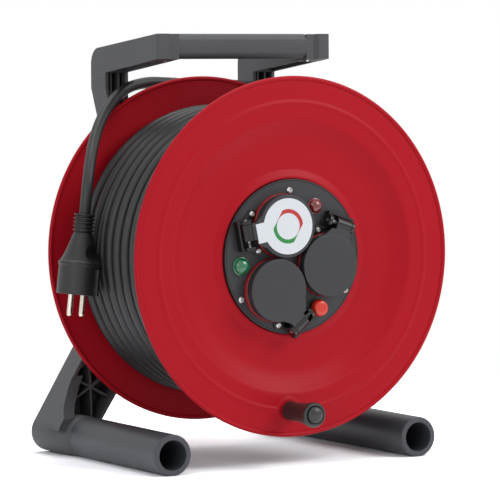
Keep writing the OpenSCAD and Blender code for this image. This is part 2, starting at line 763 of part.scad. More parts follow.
module label_disc() color("white") placed() at_socket(1)
    disc(label_d / 2, lid_front - label_t, lid_front);

// ---- Lamps and reset button ----

bush_r = stem_d / 2 + 2.5;
cutout_l = 26;

// A domed lens on a round body that passes through the plate
module lamp(d) {
    turned([[0, plate_y - d * 0.42], [d * 0.2, plate_y - d * 0.38],
        [d * 0.36, plate_y - d * 0.27], [d * 0.45, plate_y - d * 0.14], [d / 2, plate_y],
        [d / 2 - 2, plate_y], [d / 2 - 2, plate_back + 15], [0, plate_back + 15]]);
}
module green_lamp() color("#0a7a45") placed() in_pattern(green_at, lamp_r) lamp(green_d);
module red_lamp() color("#8f1d20") placed() in_pattern(red_at, lamp_r) lamp(red_d);

button_back = plate_y - gap - button_travel;
button_front = button_back - 6.5;
module reset_button() color("#e0401f") placed() in_pattern(button_at, button_r)
    turned([[0, button_front], [button_d * 0.3, button_front + 0.5],
        [button_d * 0.42, button_front + 1.8], [button_d / 2 - 0.6, button_front + 3.8],
        [button_d / 2 - 0.6, button_back], [bush_r + gap, button_back],
        [bush_r + gap, button_front + 3], [stem_d / 2, button_front + 3],
        [stem_d / 2, plate_back + 10], [0, plate_back + 10]]);

module thermal_cutout() color("#2c2c2e") placed() in_pattern(button_at, button_r) difference() {
    union() {
        disc(bush_r, button_front + 3 + button_travel + gap, plate_back + 1);
        disc(bush_r + 2, plate_back, plate_back + cutout_l);
        for (z = [-4, 3])
            translate([-2, plate_back + cutout_l, z]) cube([4, 6, 1]);
    }
    disc(stem_d / 2 + running, button_front, plate_back + 10 + button_travel + 1);
}

// ---- Stand ----

// The ribs of one side: a star in the leg, bars across it, and uprights in the post
module side_ribs() {
    at = stand_y + 4;
    depth = stand_depth - 4;
    for (a = [28, 88, 148])
        translate([103, at, -122]) rotate([0, -a, 0])
            translate([-50, 0, -rib / 2]) cube([100, depth, rib]);
    for (p = [[84, -86], [62, -50]])
        translate([p[0], at, p[1]]) rotate([0, 32, 0])
            translate([-50, 0, -rib / 2]) cube([100, depth, rib]);
    for (x = [post_w / 3, post_w * 2 / 3])
        translate([post_x - x - rib / 2, at, 92]) cube([rib, depth, arm_z]);
    translate([0, at, 62]) cube([post_x, depth, rib]);
    translate([53, at, 46]) rotate([0, -13, 0]) translate([-rib, 0, -50])
        cube([rib, depth, 100]);
}

// A plate with the outline p, from y0 to y1
module plate(p, y0, y1) translate([0, y1, 0]) rotate([90, 0, 0])
    linear_extrude(y1 - y0) polygon(p);

// A prism along x between x0 and x1 with the side outline p, as [y, z]
module side_prism(p, x0, x1) translate([x1, 0, 0]) rotate([0, -90, 0])
    linear_extrude(x1 - x0) polygon([for (q = p) [q[1], q[0]]]);

// Height of the handle arm's top at y
function arm_top(y) = handle_top - arm_fall * (y - arm_y) / (stand_back - arm_y);

// The handle arm: its plan outline, cut by its side outline
module handle_arm() {
    inside = post_x - post_w;
    intersection() {
        linear_extrude(handle_top + cut) polygon([[inside, stand_back],
            [inside, grip_back], [inside + arm_flush, grip_back],
            [inside + arm_flush + arm_slope, arm_y], [post_x - arm_edge, arm_y],
            [post_x, arm_y + arm_edge], [post_x, stand_back]]);
        side_prism([[arm_y, handle_top], [stand_back, arm_z], [stand_back, arm_z - arm_h],
            [arm_y, grip_z]], inside - cut, post_x + cut);
    }
}

// The hollow under the arm, the slot for the grip's tongue and the hole for its screw
module handle_arm_hollow() {
    inside = post_x - post_w;
    middle = grip_back + grip_w / 2;
    hollow_y = middle + tongue_w / 2 + wall;
    side_prism([[hollow_y, arm_top(hollow_y) - wall], [stand_y, arm_top(stand_y) - wall],
        [stand_y, arm_z - arm_h - wall], [hollow_y, arm_z - arm_h - wall]],
        inside + wall, post_x - wall);
    translate([inside - cut, middle - tongue_w / 2 - running, tongue_z - running])
        cube([tongue_l + cut + running, tongue_w + 2 * running, tongue_h + 2 * running]);
    translate([grip_screw_x, middle, arm_z - arm_h]) {
        cylinder(r = grip_screw_well, h = grip_z - arm_z + arm_h);
        cylinder(r = screw_d / 2 + running, h = tongue_z + cut - arm_z + arm_h);
    }
}

// What the round rear corner of the arm and post takes away
module rear_corner() {
    y = stand_back - arm_round;
    z = arm_top(y) - arm_round;
    difference() {
        translate([post_x - post_w - cut, y, z])
            cube([post_w + 2 * cut, arm_round + cut, 2 * arm_round]);
        translate([post_x - post_w - 2 * cut, y, z]) rotate([0, 90, 0])
            cylinder(r = arm_round, h = post_w + 4 * cut);
    }
}

// The elbow that turns from the foot tube up into the leg, with its web
module elbow() {
    hull() {
        translate([foot_x, 0, foot_z]) disc(tube_back_d / 2, elbow_y, stand_back);
        translate([heel[0], 0, heel[1]]) disc(heel_r, stand_y, stand_back);
    }
    translate([foot_x, 0, foot_z]) disc(spigot_r, elbow_y - spigot_l, elbow_y + cut);
    intersection() {
        difference() {
            plate(SIDE, elbow_y, stand_y + cut);
            plate(inset(SIDE, 3 * wall), elbow_y - cut, stand_y + 2 * cut);
        }
        side_prism(WEB, web_from, heel[0] + heel_r + cut);
    }
}

// The right side of the stand: leg, waist, post and handle arm as one moulding
module side_frame() difference() {
    union() {
        difference() {
            plate(SIDE, stand_y, stand_back);
            plate(inset(SIDE, wall), stand_y - cut, stand_back - wall);
        }
        intersection() {
            side_ribs();
            plate(SIDE, stand_y, stand_back - wall / 2);
        }
        intersection() {
            disc(carrier_d / 2 + gap + wall, stand_y, stand_back);
            plate(SIDE, stand_y, stand_back);
        }
        elbow();
        handle_arm();
    }
    handle_arm_hollow();
    rear_corner();
    disc(carrier_d / 2 + gap, carrier_y, stand_back + cut);
    disc(carrier_d / 2 - wall, stand_y - cut, carrier_y - web_t);
    disc(boss_r + gap, stand_y - cut, stand_back + cut);
    for (a = carrier_screws_at)
        polar(a, screw_ring_r)
            disc(carrier_screw_d / 2 + running, carrier_y - web_t - cut, carrier_y + cut);
    translate([foot_x, 0, foot_z])
        disc(spigot_r - wall, elbow_y - spigot_l - cut, stand_back - wall);
    translate([foot_x - 2 * tube_back_d, elbow_y - cut, -axle_h - tube_back_d])
        cube([4 * tube_back_d, stand_back, tube_back_d]);
    translate([-cut, stand_y - cut, -axle_h])
        cube([cut + gap / 2, stand_depth + 2 * cut, axle_h + handle_top]);
}

module right_side_frame() color("#626466") placed() side_frame();
module left_side_frame() color("#626466") placed() mirror([1, 0, 0]) side_frame();

module bearing_carrier() color("#55575a") placed() difference() {
    union() {
        disc(carrier_d / 2, carrier_y, carrier_y + carrier_t);
        disc(boss_r, stand_y - boss_out, carrier_y + carrier_t);
    }
    disc(axle_d / 2 + running / 2, 0, stand_back + cut);
    for (a = carrier_screws_at, turn = [0, 180])
        polar(a + turn, screw_ring_r)
            disc(carrier_screw_d / 2 + 0.2, carrier_y - cut, carrier_y + carrier_t + cut);
}

module carrier_screws() color("silver") placed()
    for (a = carrier_screws_at, turn = [0, 180])
        polar(a + turn, screw_ring_r) translate([0, carrier_y + carrier_t, 0])
            mirror([0, 1, 0]) screw(carrier_screw_d, carrier_t + web_t - cut, 8, 2.6);

// The foot tube tapers to the front and has a flat underneath, where it stands
module foot_tube() difference() {
    translate([foot_x, 0, foot_z]) turned([[tube_bore / 2, -tube_out],
        [tube_front_d / 2 - 1, -tube_out], [tube_front_d / 2, 1 - tube_out],
        [tube_back_d / 2, elbow_y], [spigot_r + running, elbow_y],
        [spigot_r + running, elbow_y - spigot_l - gap],
        [tube_bore / 2, elbow_y - spigot_l - gap]]);
    translate([foot_x - tube_back_d, -tube_out - cut, -axle_h - tube_back_d])
        cube([2 * tube_back_d, elbow_y + tube_out + 2 * cut, tube_back_d]);
}
module right_foot_tube() color("#4a4c50") placed() foot_tube();
module left_foot_tube() color("#4a4c50") placed() mirror([1, 0, 0]) foot_tube();

// A bar of length l along x with rounded long edges
module round_bar(l, depth, height, r) {
    translate([-l / 2, r, 0]) cube([l, depth - 2 * r, height]);
    translate([-l / 2, 0, r]) cube([l, depth, height - 2 * r]);
    for (y = [r, depth - r], z = [r, height - r])
        translate([-l / 2, y, z]) rotate([0, 90, 0]) cylinder(r = r, h = l);
}

// The grip, with a tongue at each end that sits in a slot of the arm
module handle_grip() color("#626466") placed() {
    inside = post_x - post_w;
    middle = grip_back + grip_w / 2;
    translate([0, grip_back, grip_z]) round_bar(2 * inside, grip_w, grip_h, grip_r);
    for (s = [-1, 1])
        difference() {
            translate([s * (inside + tongue_l / 2) - tongue_l / 2 - (s > 0 ? 1 : 0),
                middle - tongue_w / 2, tongue_z])
                cube([tongue_l + 1, tongue_w, tongue_h]);
            translate([s * grip_screw_x, middle, tongue_z - cut])
                cylinder(r = screw_d / 2 + running, h = tongue_h);
        }
}

module handle_screws() color("silver") placed()
    for (s = [-1, 1])
        translate([s * grip_screw_x, grip_back + grip_w / 2, grip_z])
            rotate([90, 0, 0]) screw(screw_d, tongue_z - grip_z + tongue_h - 2, 7, 2.4);

module axle_tube() color("silver") placed() difference() {
    disc(axle_d / 2, axle_front, carrier_y + carrier_t + nut_t);
    disc(axle_d / 2 - axle_wall, axle_front - cut, stand_back);
    ring(axle_d / 2 - 1, axle_d / 2 + cut, groove_y, groove_y + ring_t + running);
}

module axle_nut() color("silver") placed() difference() {
    along_y(carrier_y + carrier_t) cylinder(r = axle_d / 2 + 8.3, h = nut_t, $fn = 6);
    disc(axle_d / 2 + running / 2, 0, stand_back + cut);
}

module axle_cap() color("#2c2c2e") placed() {
    r = axle_d / 2 + 12;
    turned([[r - cap_wall, carrier_y + carrier_t], [r, carrier_y + carrier_t],
        [r, stand_back - 2], [r - 2, stand_back], [0, stand_back],
        [0, stand_back - cap_wall], [r - cap_wall, stand_back - cap_wall]]);
}

module retaining_washer() color("silver") placed()
    ring(axle_d / 2 + running, axle_d / 2 + 6.5, bearing_front - gap - washer_t,
        bearing_front - gap);

module circlip() color("silver") placed() difference() {
    ring(axle_d / 2 - 0.95, axle_d / 2 + 3, groove_y + running / 2,
        groove_y + ring_t + running / 2);
    translate([-3, groove_y - cut, axle_d / 2 - 4]) cube([6, ring_t + 3, 10]);
}

// ---- Crank knob ----

module knob_spindle() color("silver") placed() polar(knob_at, knob_r)
    turned([[0, 6 - knob_out], [spindle_d / 2 + 1.5, 6 - knob_out],
        [spindle_d / 2 + 1.5, 9 - knob_out], [spindle_d / 2, 9 - knob_out],
        [spindle_d / 2, -2.2], [spindle_d / 2 + 2, -2.2],
        [spindle_d / 2 + 2, face_set - bead_h], [spindle_d / 2, face_set - bead_h],
        [spindle_d / 2, face_set + sheet_t], [spindle_d / 2 + 1, face_set + sheet_t],
        [spindle_d / 2 + 1, face_set + sheet_t + 2], [0, face_set + sheet_t + 2]]);

module knob_sleeve() color("#3c403e") placed() polar(knob_at, knob_r)
    turned([[spindle_d / 2 + running, -2.2 - gap], [knob_d / 2 + 0.6, -2.2 - gap],
        [knob_d / 2, -6], [knob_d / 2 + 0.4, -20], [knob_end_d / 2 - 1.2, 12 - knob_out],
        [knob_end_d / 2, 8 - knob_out], [knob_end_d / 2, 5 - knob_out],
        [knob_end_d / 2 - 1.4, 3 - knob_out], [cap_d / 2, 3 - knob_out],
        [cap_d / 2, 5.7 - knob_out], [spindle_d / 2 + 1.8, 5.7 - knob_out],
        [spindle_d / 2 + 1.8, 9.3 - knob_out], [spindle_d / 2 + running, 9.3 - knob_out]]);

module knob_cap() color("#3c403e") placed() polar(knob_at, knob_r)
    turned([[0, -knob_out], [cap_d * 0.2, 0.25 - knob_out], [cap_d * 0.36, 1 - knob_out],
        [cap_d * 0.46, 2.2 - knob_out], [cap_d / 2 - running, 3.4 - knob_out],
        [cap_d / 2 - running, 5.7 - knob_out], [0, 5.7 - knob_out]]);

left_side_frame();
right_side_frame();
bearing_carrier();
left_foot_tube();
right_foot_tube();
handle_grip();
handle_screws();
carrier_screws();
axle_tube();
axle_nut();
axle_cap();
retaining_washer();
circlip();
front_flange();
rear_flange();
drum_barrel();
hub_bearing();
hub_screws();
cable_core();
cable_winding();
cable_gland();
inner_lead();
terminal_block();
free_cable();
plug_sleeve();
plug_body();
plug_pins();
plug_earth_contacts();
socket_housing();
socket_plate();
plate_screws();
socket_insert(0);  // socket_insert_1
socket_insert(1);  // socket_insert_2
socket_insert(2);  // socket_insert_3
seal_ring(0);  // seal_ring_1
seal_ring(1);  // seal_ring_2
seal_ring(2);  // seal_ring_3
earth_clips();
hinge_block(0);  // hinge_block_1
hinge_block(1);  // hinge_block_2
hinge_block(2);  // hinge_block_3
hinge_screws();
hinge_pin(0);  // hinge_pin_1
hinge_pin(1);  // hinge_pin_2
hinge_pin(2);  // hinge_pin_3
lid_spring(0);  // lid_spring_1
lid_spring(1);  // lid_spring_2
lid_spring(2);  // lid_spring_3
lid(0);  // lid_1
lid(1);  // lid_2
lid(2);  // lid_3
label_disc();
green_lamp();
red_lamp();
reset_button();
thermal_cutout();
knob_spindle();
knob_sleeve();
knob_cap();
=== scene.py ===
"""Extension cord reel: the finish of a steel cable drum, its cable, hub and stand."""

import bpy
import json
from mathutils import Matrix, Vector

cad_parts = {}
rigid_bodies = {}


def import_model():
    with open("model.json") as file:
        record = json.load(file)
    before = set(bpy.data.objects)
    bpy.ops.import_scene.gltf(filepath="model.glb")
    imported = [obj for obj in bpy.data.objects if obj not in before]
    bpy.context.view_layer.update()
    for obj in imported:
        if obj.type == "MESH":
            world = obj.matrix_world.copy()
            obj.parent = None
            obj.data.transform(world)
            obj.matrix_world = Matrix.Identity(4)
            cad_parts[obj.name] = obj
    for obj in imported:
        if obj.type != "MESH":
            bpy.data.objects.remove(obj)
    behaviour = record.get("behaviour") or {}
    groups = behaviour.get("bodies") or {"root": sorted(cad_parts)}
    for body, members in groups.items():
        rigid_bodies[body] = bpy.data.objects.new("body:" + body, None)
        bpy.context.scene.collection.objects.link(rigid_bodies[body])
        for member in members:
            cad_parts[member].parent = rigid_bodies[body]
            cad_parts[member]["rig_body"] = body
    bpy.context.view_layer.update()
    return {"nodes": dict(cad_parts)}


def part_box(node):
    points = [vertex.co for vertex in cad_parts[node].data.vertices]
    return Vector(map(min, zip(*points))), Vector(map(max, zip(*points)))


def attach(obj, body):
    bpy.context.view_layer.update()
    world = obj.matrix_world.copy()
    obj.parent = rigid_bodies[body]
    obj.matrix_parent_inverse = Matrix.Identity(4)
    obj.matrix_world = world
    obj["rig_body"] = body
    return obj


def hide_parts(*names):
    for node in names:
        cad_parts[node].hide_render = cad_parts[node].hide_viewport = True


bl_info = {
    "name": "Extension Cord Reel",
    "version": (1, 0, 0),
    "blender": (4, 5, 0),
    "location": "View3D > Sidebar > Reel",
    "description": "Dresses the fixed frame of an extension cord reel",
    "category": "Object",
}

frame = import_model()

import json
import math

import bmesh
import bpy
import numpy as np
from bpy.props import FloatProperty, FloatVectorProperty, IntProperty, PointerProperty
from mathutils import Matrix, Vector

MM = 0.001
TAU = 2 * math.pi
AXLE = np.array([0.0, 1.0, 0.0])

# The drum's frame: its origin is where the axle's line meets the front rim's plane
RIM_LOW, RIM_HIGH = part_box("front_flange")
ORIGIN = np.array([0.0, RIM_LOW.y, (RIM_LOW.z + RIM_HIGH.z) / 2])
FLANGE_R = (RIM_HIGH.x - RIM_LOW.x) / 2 / MM
DRUM_W = (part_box("rear_flange")[1].y - RIM_LOW.y) / MM

# The hub's pattern: three sockets with hinges, lamps and a button round a common middle
PATTERN_DROP = 3.0
SOCKET_R = 32.0
SOCKET_ANGLES = (-9.0, 111.0, 231.0)
HINGE_TURN = 80.0
HINGE_REACH = 37.0
PLATE_Y = 5.0
SEAL_T = 4.0
LID_R = 27.0
LID_H = 8.0
LID_SKIN = 2.5
REST_GAP = 0.3
LID_FRONT = PLATE_Y - SEAL_T - REST_GAP - LID_H
LID_BACK = LID_FRONT + LID_H
FLAP_SET = 0.15
HINGE_H = 7.0
PIN_Y = PLATE_Y - HINGE_H
KNUCKLE_R = 5.3
KNUCKLE_SPAN = (-9.7, 4.7)
LAMP_R = 51.0
LAMPS = (("green_lamp", "green", 184, 8.0), ("red_lamp", "red", 64, 7.0))
BUTTON_R = 48.5
BUTTON_ANGLE = 300
BUTTON_TRAVEL = 3.0
BUTTON_H = 6.5
KNOB_R, KNOB_ANGLE = 132, math.radians(-93)
KNOB_AXIS = (KNOB_R * math.cos(KNOB_ANGLE), KNOB_R * math.sin(KNOB_ANGLE))

# Holes of the flanges, the layer beneath, the plug's pins and the foot tubes
HUB_HOLE = 66.8
BEARING_HOLE = 21.0
UNDER_R = 113.4
PIN_SIDE = 9.5
TUBE_Z = -162.6
TUBE_BORE = 12.75

SPAN_STEPS = 12
BEVEL_ANGLE = 30.0

# The camera: turn, fall and roll in degrees, its aim from the drum's origin and distance
CAMERA_ANGLES = (30.0, 3.29, -0.34)
CAMERA_AIM = (-44.7, 0, 7.4)
CAMERA_AWAY = 2600

# Route of the free cable in the drum's frame, from the winding to the plug
CABLE_ROUTE = (
    (125, 155.5, 10), (125, 155.5, 30), (126.2, 155, 57), (127, 153, 82),
    (121, 153.5, 106), (106, 158, 124), (87.2, 165, 136.7), (64.6, 171, 144),
    (41, 173.5, 146.5), (17, 173.5, 147.2), (-6, 173.5, 147.7), (-30, 173, 149.2),
    (-52.6, 171, 149.3), (-75.4, 166.5, 143.8), (-94.6, 159, 130.8), (-110.2, 149.5, 114),
    (-122, 138.5, 96.5), (-131.5, 127, 79.5), (-137.9, 119, 63.5), (-141.27, 116, 48),
    (-142.6, 116, 36.5),
)
PLUG_LEAN = math.radians(6.6)
PLUG_TURN = math.radians(30.0)


def srgb(red, green, blue):
    """Linear colour of an sRGB one: below 0.04045 a twelfth, above it a 2.4 power."""
    c = np.array([red, green, blue]) / 255
    return tuple(np.where(c < 0.04045, c / 12.92, ((c + 0.055) / 1.055) ** 2.4))


# ---- Settings ----

class ReelSizes(bpy.types.PropertyGroup):
    """Sizes of the pieces that are made here"""

    cable: FloatProperty(
        name="Cable", description="Diameter of the cable", default=0.010, unit="LENGTH")
    wind_radius: FloatProperty(
        name="Winding", description="Radius of the outer layer's centre line",
        default=0.125, unit="LENGTH")
    pitch: FloatProperty(
        name="Pitch", description="Distance between turns", default=0.015, unit="LENGTH")
    first_turn: FloatProperty(
        name="First turn", description="Depth of the first turn behind the rim plane",
        default=0.0104, unit="LENGTH")
    sheet: FloatProperty(
        name="Sheet", description="Thickness of the flange sheet", default=0.0012,
        unit="LENGTH")
    frame_edge: FloatProperty(
        name="Frame edge", description="Edge radius of the stand's mouldings",
        default=0.0011, unit="LENGTH")
    around: IntProperty(
        name="Facets", description="Facets round a flange", default=256, min=64)


class ReelColours(bpy.types.PropertyGroup):
    """Colours of the finishes"""

    enamel: FloatVectorProperty(
        name="Enamel", description="Colour of the drum", subtype="COLOR", size=3,
        default=srgb(184, 22, 36))
    stand: FloatVectorProperty(
        name="Stand", description="Colour of the stand and grip", subtype="COLOR", size=3,
        default=srgb(77, 78, 81))
    tube: FloatVectorProperty(
        name="Foot tubes", description="Colour of the foot tubes", subtype="COLOR", size=3,
        default=srgb(62, 64, 70))
    hub: FloatVectorProperty(
        name="Hub", description="Colour of the socket plate and lids", subtype="COLOR",
        size=3, default=srgb(43, 44, 47))
    cable: FloatVectorProperty(
        name="Cable", description="Colour of the cable sheath", subtype="COLOR", size=3,
        default=srgb(36, 36, 38))


# ---- Meshes ----

def place(points):
    """Drum-frame millimetres to row metres: scale by a thousandth and add the origin."""
    return np.asarray(points, float) * MM + ORIGIN


def grid_faces(rows, columns, close_rows, close_columns):
    """Quads of a grid: each joins a point, its right, its lower right and its lower one.

    A closed direction wraps its last index back to its first."""
    r = np.arange(rows if close_rows else rows - 1)[:, None]
    c = np.arange(columns if close_columns else columns - 1)[None, :]
    r1, c1 = (r + 1) % rows, (c + 1) % columns
    quads = (r * columns + c, r * columns + c1, r1 * columns + c1, r1 * columns + c)
    return np.stack([np.broadcast_to(q, (r.size, c.size)) for q in quads], -1).reshape(-1, 4)


def mesh_of(name, points, faces):
    """A mesh from an array of points and an array or list of faces."""
    mesh = bpy.data.meshes.new(name)
    faces = faces.tolist() if isinstance(faces, np.ndarray) else faces
    mesh.from_pydata(np.asarray(points, float).reshape(-1, 3).tolist(), [], faces)
    return mesh


def tidy(mesh):
    """Merges points that coincide and turns the faces of a closed shape outwards."""
    work = bmesh.new()
    work.from_mesh(mesh)
    bmesh.ops.remove_doubles(work, verts=work.verts, dist=1e-7)
    bmesh.ops.dissolve_degenerate(work, edges=work.edges, dist=1e-8)
    bmesh.ops.recalc_face_normals(work, faces=work.faces)
    work.to_mesh(mesh)
    work.free()
    return mesh


def joined(name, meshes):
    """One mesh that holds several, by putting their points and faces end to end."""
    work = bmesh.new()
    for mesh in meshes:
        work.from_mesh(mesh)
        bpy.data.meshes.remove(mesh)
    whole = bpy.data.meshes.new(name)
    work.to_mesh(whole)
    work.free()
    return whole


def piece(name, mesh, material, body, sharp=35.0, replaces=()):
    """Links a mesh as a piece: smooth but for edges over the angle, riding on a body."""
    mesh.name = name
    mesh.polygons.foreach_set("use_smooth", np.ones(len(mesh.polygons), bool))
    mesh.set_sharp_from_angle(angle=math.radians(sharp))
    obj = bpy.data.objects.new(name, mesh)
    bpy.context.scene.collection.objects.link(obj)
    obj.data.materials.append(material)
    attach(obj, body)
    if replaces:
        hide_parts(*replaces)
    return obj


def filleted(corners, steps=6, closed=False):
    """A line through corners (radius, depth, fillet), each corner cut by a curve.

    The curve is the parabola from the point a fillet before the corner to the point a
    fillet after it, with the corner as its middle control point."""
    xy = np.array([c[:2] for c in corners], float)
    cut = np.array([c[2] if len(c) > 2 else 0.0 for c in corners])
    t = np.linspace(0, 1, steps + 1)[:, None]
    line = []
    for i, corner in enumerate(xy):
        inner = closed or 0 < i < len(xy) - 1
        if cut[i] <= 0 or not inner:
            line.append(corner[None])
            continue
        before, after = xy[i - 1] - corner, xy[(i + 1) % len(xy)] - corner
        a = corner + before / np.linalg.norm(before) * min(cut[i], np.linalg.norm(before) * 0.49)
        b = corner + after / np.linalg.norm(after) * min(cut[i], np.linalg.norm(after) * 0.49)
        line.append((1 - t) ** 2 * a + 2 * t * (1 - t) * corner + t**2 * b)
    return np.concatenate(line)


def revolved(line, centre=(0.0, 0.0), steps=128, closed=True):
    """A surface of revolution about the axle's direction through centre.

    At angle a the profile's radius r and depth y become (r cos a, y, r sin a)."""
    a = np.arange(steps) * TAU / steps
    r, y = np.asarray(line)[:, 0][:, None], np.asarray(line)[:, 1][:, None]
    points = np.stack([centre[0] + r * np.cos(a), y + 0 * a, centre[1] + r * np.sin(a)], -1)
    faces = grid_faces(len(line), steps, closed, True)
    return tidy(mesh_of("turned", place(points), faces))


def side_vectors(path):
    """Two unit vectors square to a path: the axle's direction less its part along the
    path, and the cross product of the path's direction with that."""
    t = np.gradient(path, axis=0)
    t /= np.linalg.norm(t, axis=1)[:, None]
    u = AXLE - (t @ AXLE)[:, None] * t
    u /= np.linalg.norm(u, axis=1)[:, None]
    return u, np.cross(t, u)


def swept(path, radius, sides):
    """A round tube: at each path point a ring of the radius in the plane square to the
    path, with a fan to its centre at both ends."""
    path = np.asarray(path, float)
    u, w = side_vectors(path)
    a = np.arange(sides) * TAU / sides
    rings = path[:, None] + radius * (
        np.cos(a)[None, :, None] * u[:, None] + np.sin(a)[None, :, None] * w[:, None])
    ends = np.stack([np.repeat(path[:1], sides, 0), np.repeat(path[-1:], sides, 0)])
    points = np.concatenate([ends[:1], rings, ends[1:]])
    return tidy(mesh_of("swept", points, grid_faces(len(points), sides, False, True)))


def smooth_line(points):
    """A curve through points: on each span the cubic whose slope at an inner point is
    half the difference of its neighbours, and at an end the span's own direction."""
    p = np.asarray(points, float)
    slope = np.gradient(p, axis=0)
    t = np.linspace(0, 1, SPAN_STEPS, endpoint=False)[None, :, None]
    a, b, m, n = p[:-1, None], p[1:, None], slope[:-1, None], slope[1:, None]
    curve = ((2 * t**3 - 3 * t**2 + 1) * a + (t**3 - 2 * t**2 + t) * m
             + (3 * t**2 - 2 * t**3) * b + (t**3 - t**2) * n)
    return np.concatenate([curve.reshape(-1, 3), p[-1:]])


def slab(outline, y0, y1):
    """A plate: an outline of (x, z) points at depth y0 and y1, with walls between."""
    o = np.asarray(outline, float)
    n = len(o)
    points = np.concatenate([
        np.stack([o[:, 0], np.full(n, y), o[:, 1]], -1) for y in (y0, y1)])
    i = np.arange(n)
    walls = np.stack([i, (i + 1) % n, n + (i + 1) % n, n + i], -1).tolist()
    return tidy(mesh_of("slab", points, [i.tolist(), (n + i[::-1]).tolist(), *walls]))


def local_to_drum(mesh, angle, centre=(0.0, 0.0)):
    """Turns local millimetres (x, y, z) by an angle about the axle's direction, moves them
    to a centre of the hub, and puts them in the row's metres."""
    n = len(mesh.vertices)
    p = np.empty(n * 3)
    mesh.vertices.foreach_get("co", p)
    p = p.reshape(-1, 3)
    c, s = math.cos(angle), math.sin(angle)
    q = np.stack([centre[0] + c * p[:, 0] - s * p[:, 2], p[:, 1],
                  centre[1] + s * p[:, 0] + c * p[:, 2]], -1)
    mesh.vertices.foreach_set("co", place(q).ravel())
    return tidy(mesh)


def bevel(obj, width, segments=3):
    """Rounds the edges of a piece that are sharper than the bevel angle."""
    mod = obj.modifiers.new("edges", "BEVEL")
    mod.width = width
    mod.segments = segments
    mod.limit_method = "ANGLE"
    mod.angle_limit = math.radians(BEVEL_ANGLE)
    mod.harden_normals = True
    mod.use_clamp_overlap = True
    return obj


def softened(node, width, material, segments=3):
    """A copy of a CAD node with merged points, flat faces made whole and round edges."""
    source = frame["nodes"][node]
    mesh = source.data.copy()
    mesh.materials.clear()
    work = bmesh.new()
    work.from_mesh(mesh)
    bmesh.ops.remove_doubles(work, verts=work.verts, dist=2e-6)
    bmesh.ops.dissolve_limit(
        work, angle_limit=math.radians(0.6), verts=work.verts, edges=work.edges)
    work.to_mesh(mesh)
    work.free()
    if mesh.has_custom_normals:
        mesh.attributes.remove(mesh.attributes["custom_normal"])
    body = source["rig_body"]
    obj = piece(f"{node}_finished", mesh, material, body, replaces=(node,))
    return bevel(obj, width, segments)


# ---- Effects shared by materials ----

def effect(name, inputs, outputs):
    """An empty shader node group with named inputs and outputs."""
    group = bpy.data.node_groups.new(name, "ShaderNodeTree")
    for label, kind, value in inputs:
        made = group.interface.new_socket(label, in_out="INPUT", socket_type=kind)
        made.default_value = value
    for label, kind in outputs:
        group.interface.new_socket(label, in_out="OUTPUT", socket_type=kind)
    return group, group.nodes.new("NodeGroupInput"), group.nodes.new("NodeGroupOutput")


def noise(tree, scale, detail=4.0, rough=0.55):
    """A noise texture in a node tree, reading Object coordinates."""
    node = tree.nodes.new("ShaderNodeTexNoise")
    node.inputs["Detail"].default_value = detail
    node.inputs["Roughness"].default_value = rough
    if isinstance(scale, (int, float)):
        node.inputs["Scale"].default_value = scale
    else:
        tree.links.new(scale, node.inputs["Scale"])
    coords = tree.nodes.new("ShaderNodeTexCoord").outputs["Object"]
    tree.links.new(coords, node.inputs["Vector"])
    return node.outputs["Fac"]


def ramp(tree, value, low, high):
    """Maps a value from the span low to high onto 0 to 1, held at both ends."""
    node = tree.nodes.new("ShaderNodeMapRange")
    node.inputs["From Min"].default_value = low
    node.inputs["From Max"].default_value = high
    tree.links.new(value, node.inputs["Value"])
    return node.outputs["Result"]


def maths(tree, operation, a, b):
    """One arithmetic step of two values, each a socket or a number."""
    node = tree.nodes.new("ShaderNodeMath")
    node.operation = operation
    for socket, value in zip(node.inputs, (a, b)):
        if isinstance(value, (int, float)):
            socket.default_value = value
        else:
            tree.links.new(value, socket)
    return node.outputs[0]


def grain_effect():
    """Moulded grain: a fine noise as height, and a slow one that varies the roughness."""
    group, given, out = effect(
        "Moulded grain",
        [("Scale", "NodeSocketFloat", 900.0), ("Roughness", "NodeSocketFloat", 0.5),
         ("Spread", "NodeSocketFloat", 0.12)],
        [("Height", "NodeSocketFloat"), ("Roughness", "NodeSocketFloat")])
    fine = noise(group, given.outputs["Scale"], 3.0, 0.6)
    slow = noise(group, 22.0, 4.0)
    spread = maths(group, "MULTIPLY", maths(group, "SUBTRACT", slow, 0.5), given.outputs["Spread"])
    group.links.new(fine, out.inputs["Height"])
    group.links.new(
        maths(group, "ADD", spread, given.outputs["Roughness"]), out.inputs["Roughness"])
    return group


def wear_effect():
    """Handling wear: a base colour mixed with a paler one where a slow noise times a
    streaky one passes a threshold."""
    group, given, out = effect(
        "Handling wear",
        [("Base", "NodeSocketColor", (0.5, 0.5, 0.5, 1)),
         ("Worn", "NodeSocketColor", (0.6, 0.6, 0.6, 1)),
         ("Amount", "NodeSocketFloat", 0.3), ("Scale", "NodeSocketFloat", 60.0)],
        [("Color", "NodeSocketColor"), ("Mask", "NodeSocketFloat")])
    coarse = noise(group, 14.0, 3.0)
    streak = noise(group, given.outputs["Scale"], 6.0, 0.7)
    mask = maths(group, "MULTIPLY", ramp(group, coarse, 0.42, 0.66),
                 ramp(group, streak, 0.46, 0.72))
    mask = maths(group, "MULTIPLY", mask, given.outputs["Amount"])
    mix = group.nodes.new("ShaderNodeMix")
    mix.data_type = "RGBA"
    group.links.new(mask, mix.inputs["Factor"])
    group.links.new(given.outputs["Base"], mix.inputs[6])
    group.links.new(given.outputs["Worn"], mix.inputs[7])
    group.links.new(mix.outputs[2], out.inputs["Color"])
    group.links.new(mask, out.inputs["Mask"])
    return group


EFFECTS = {}


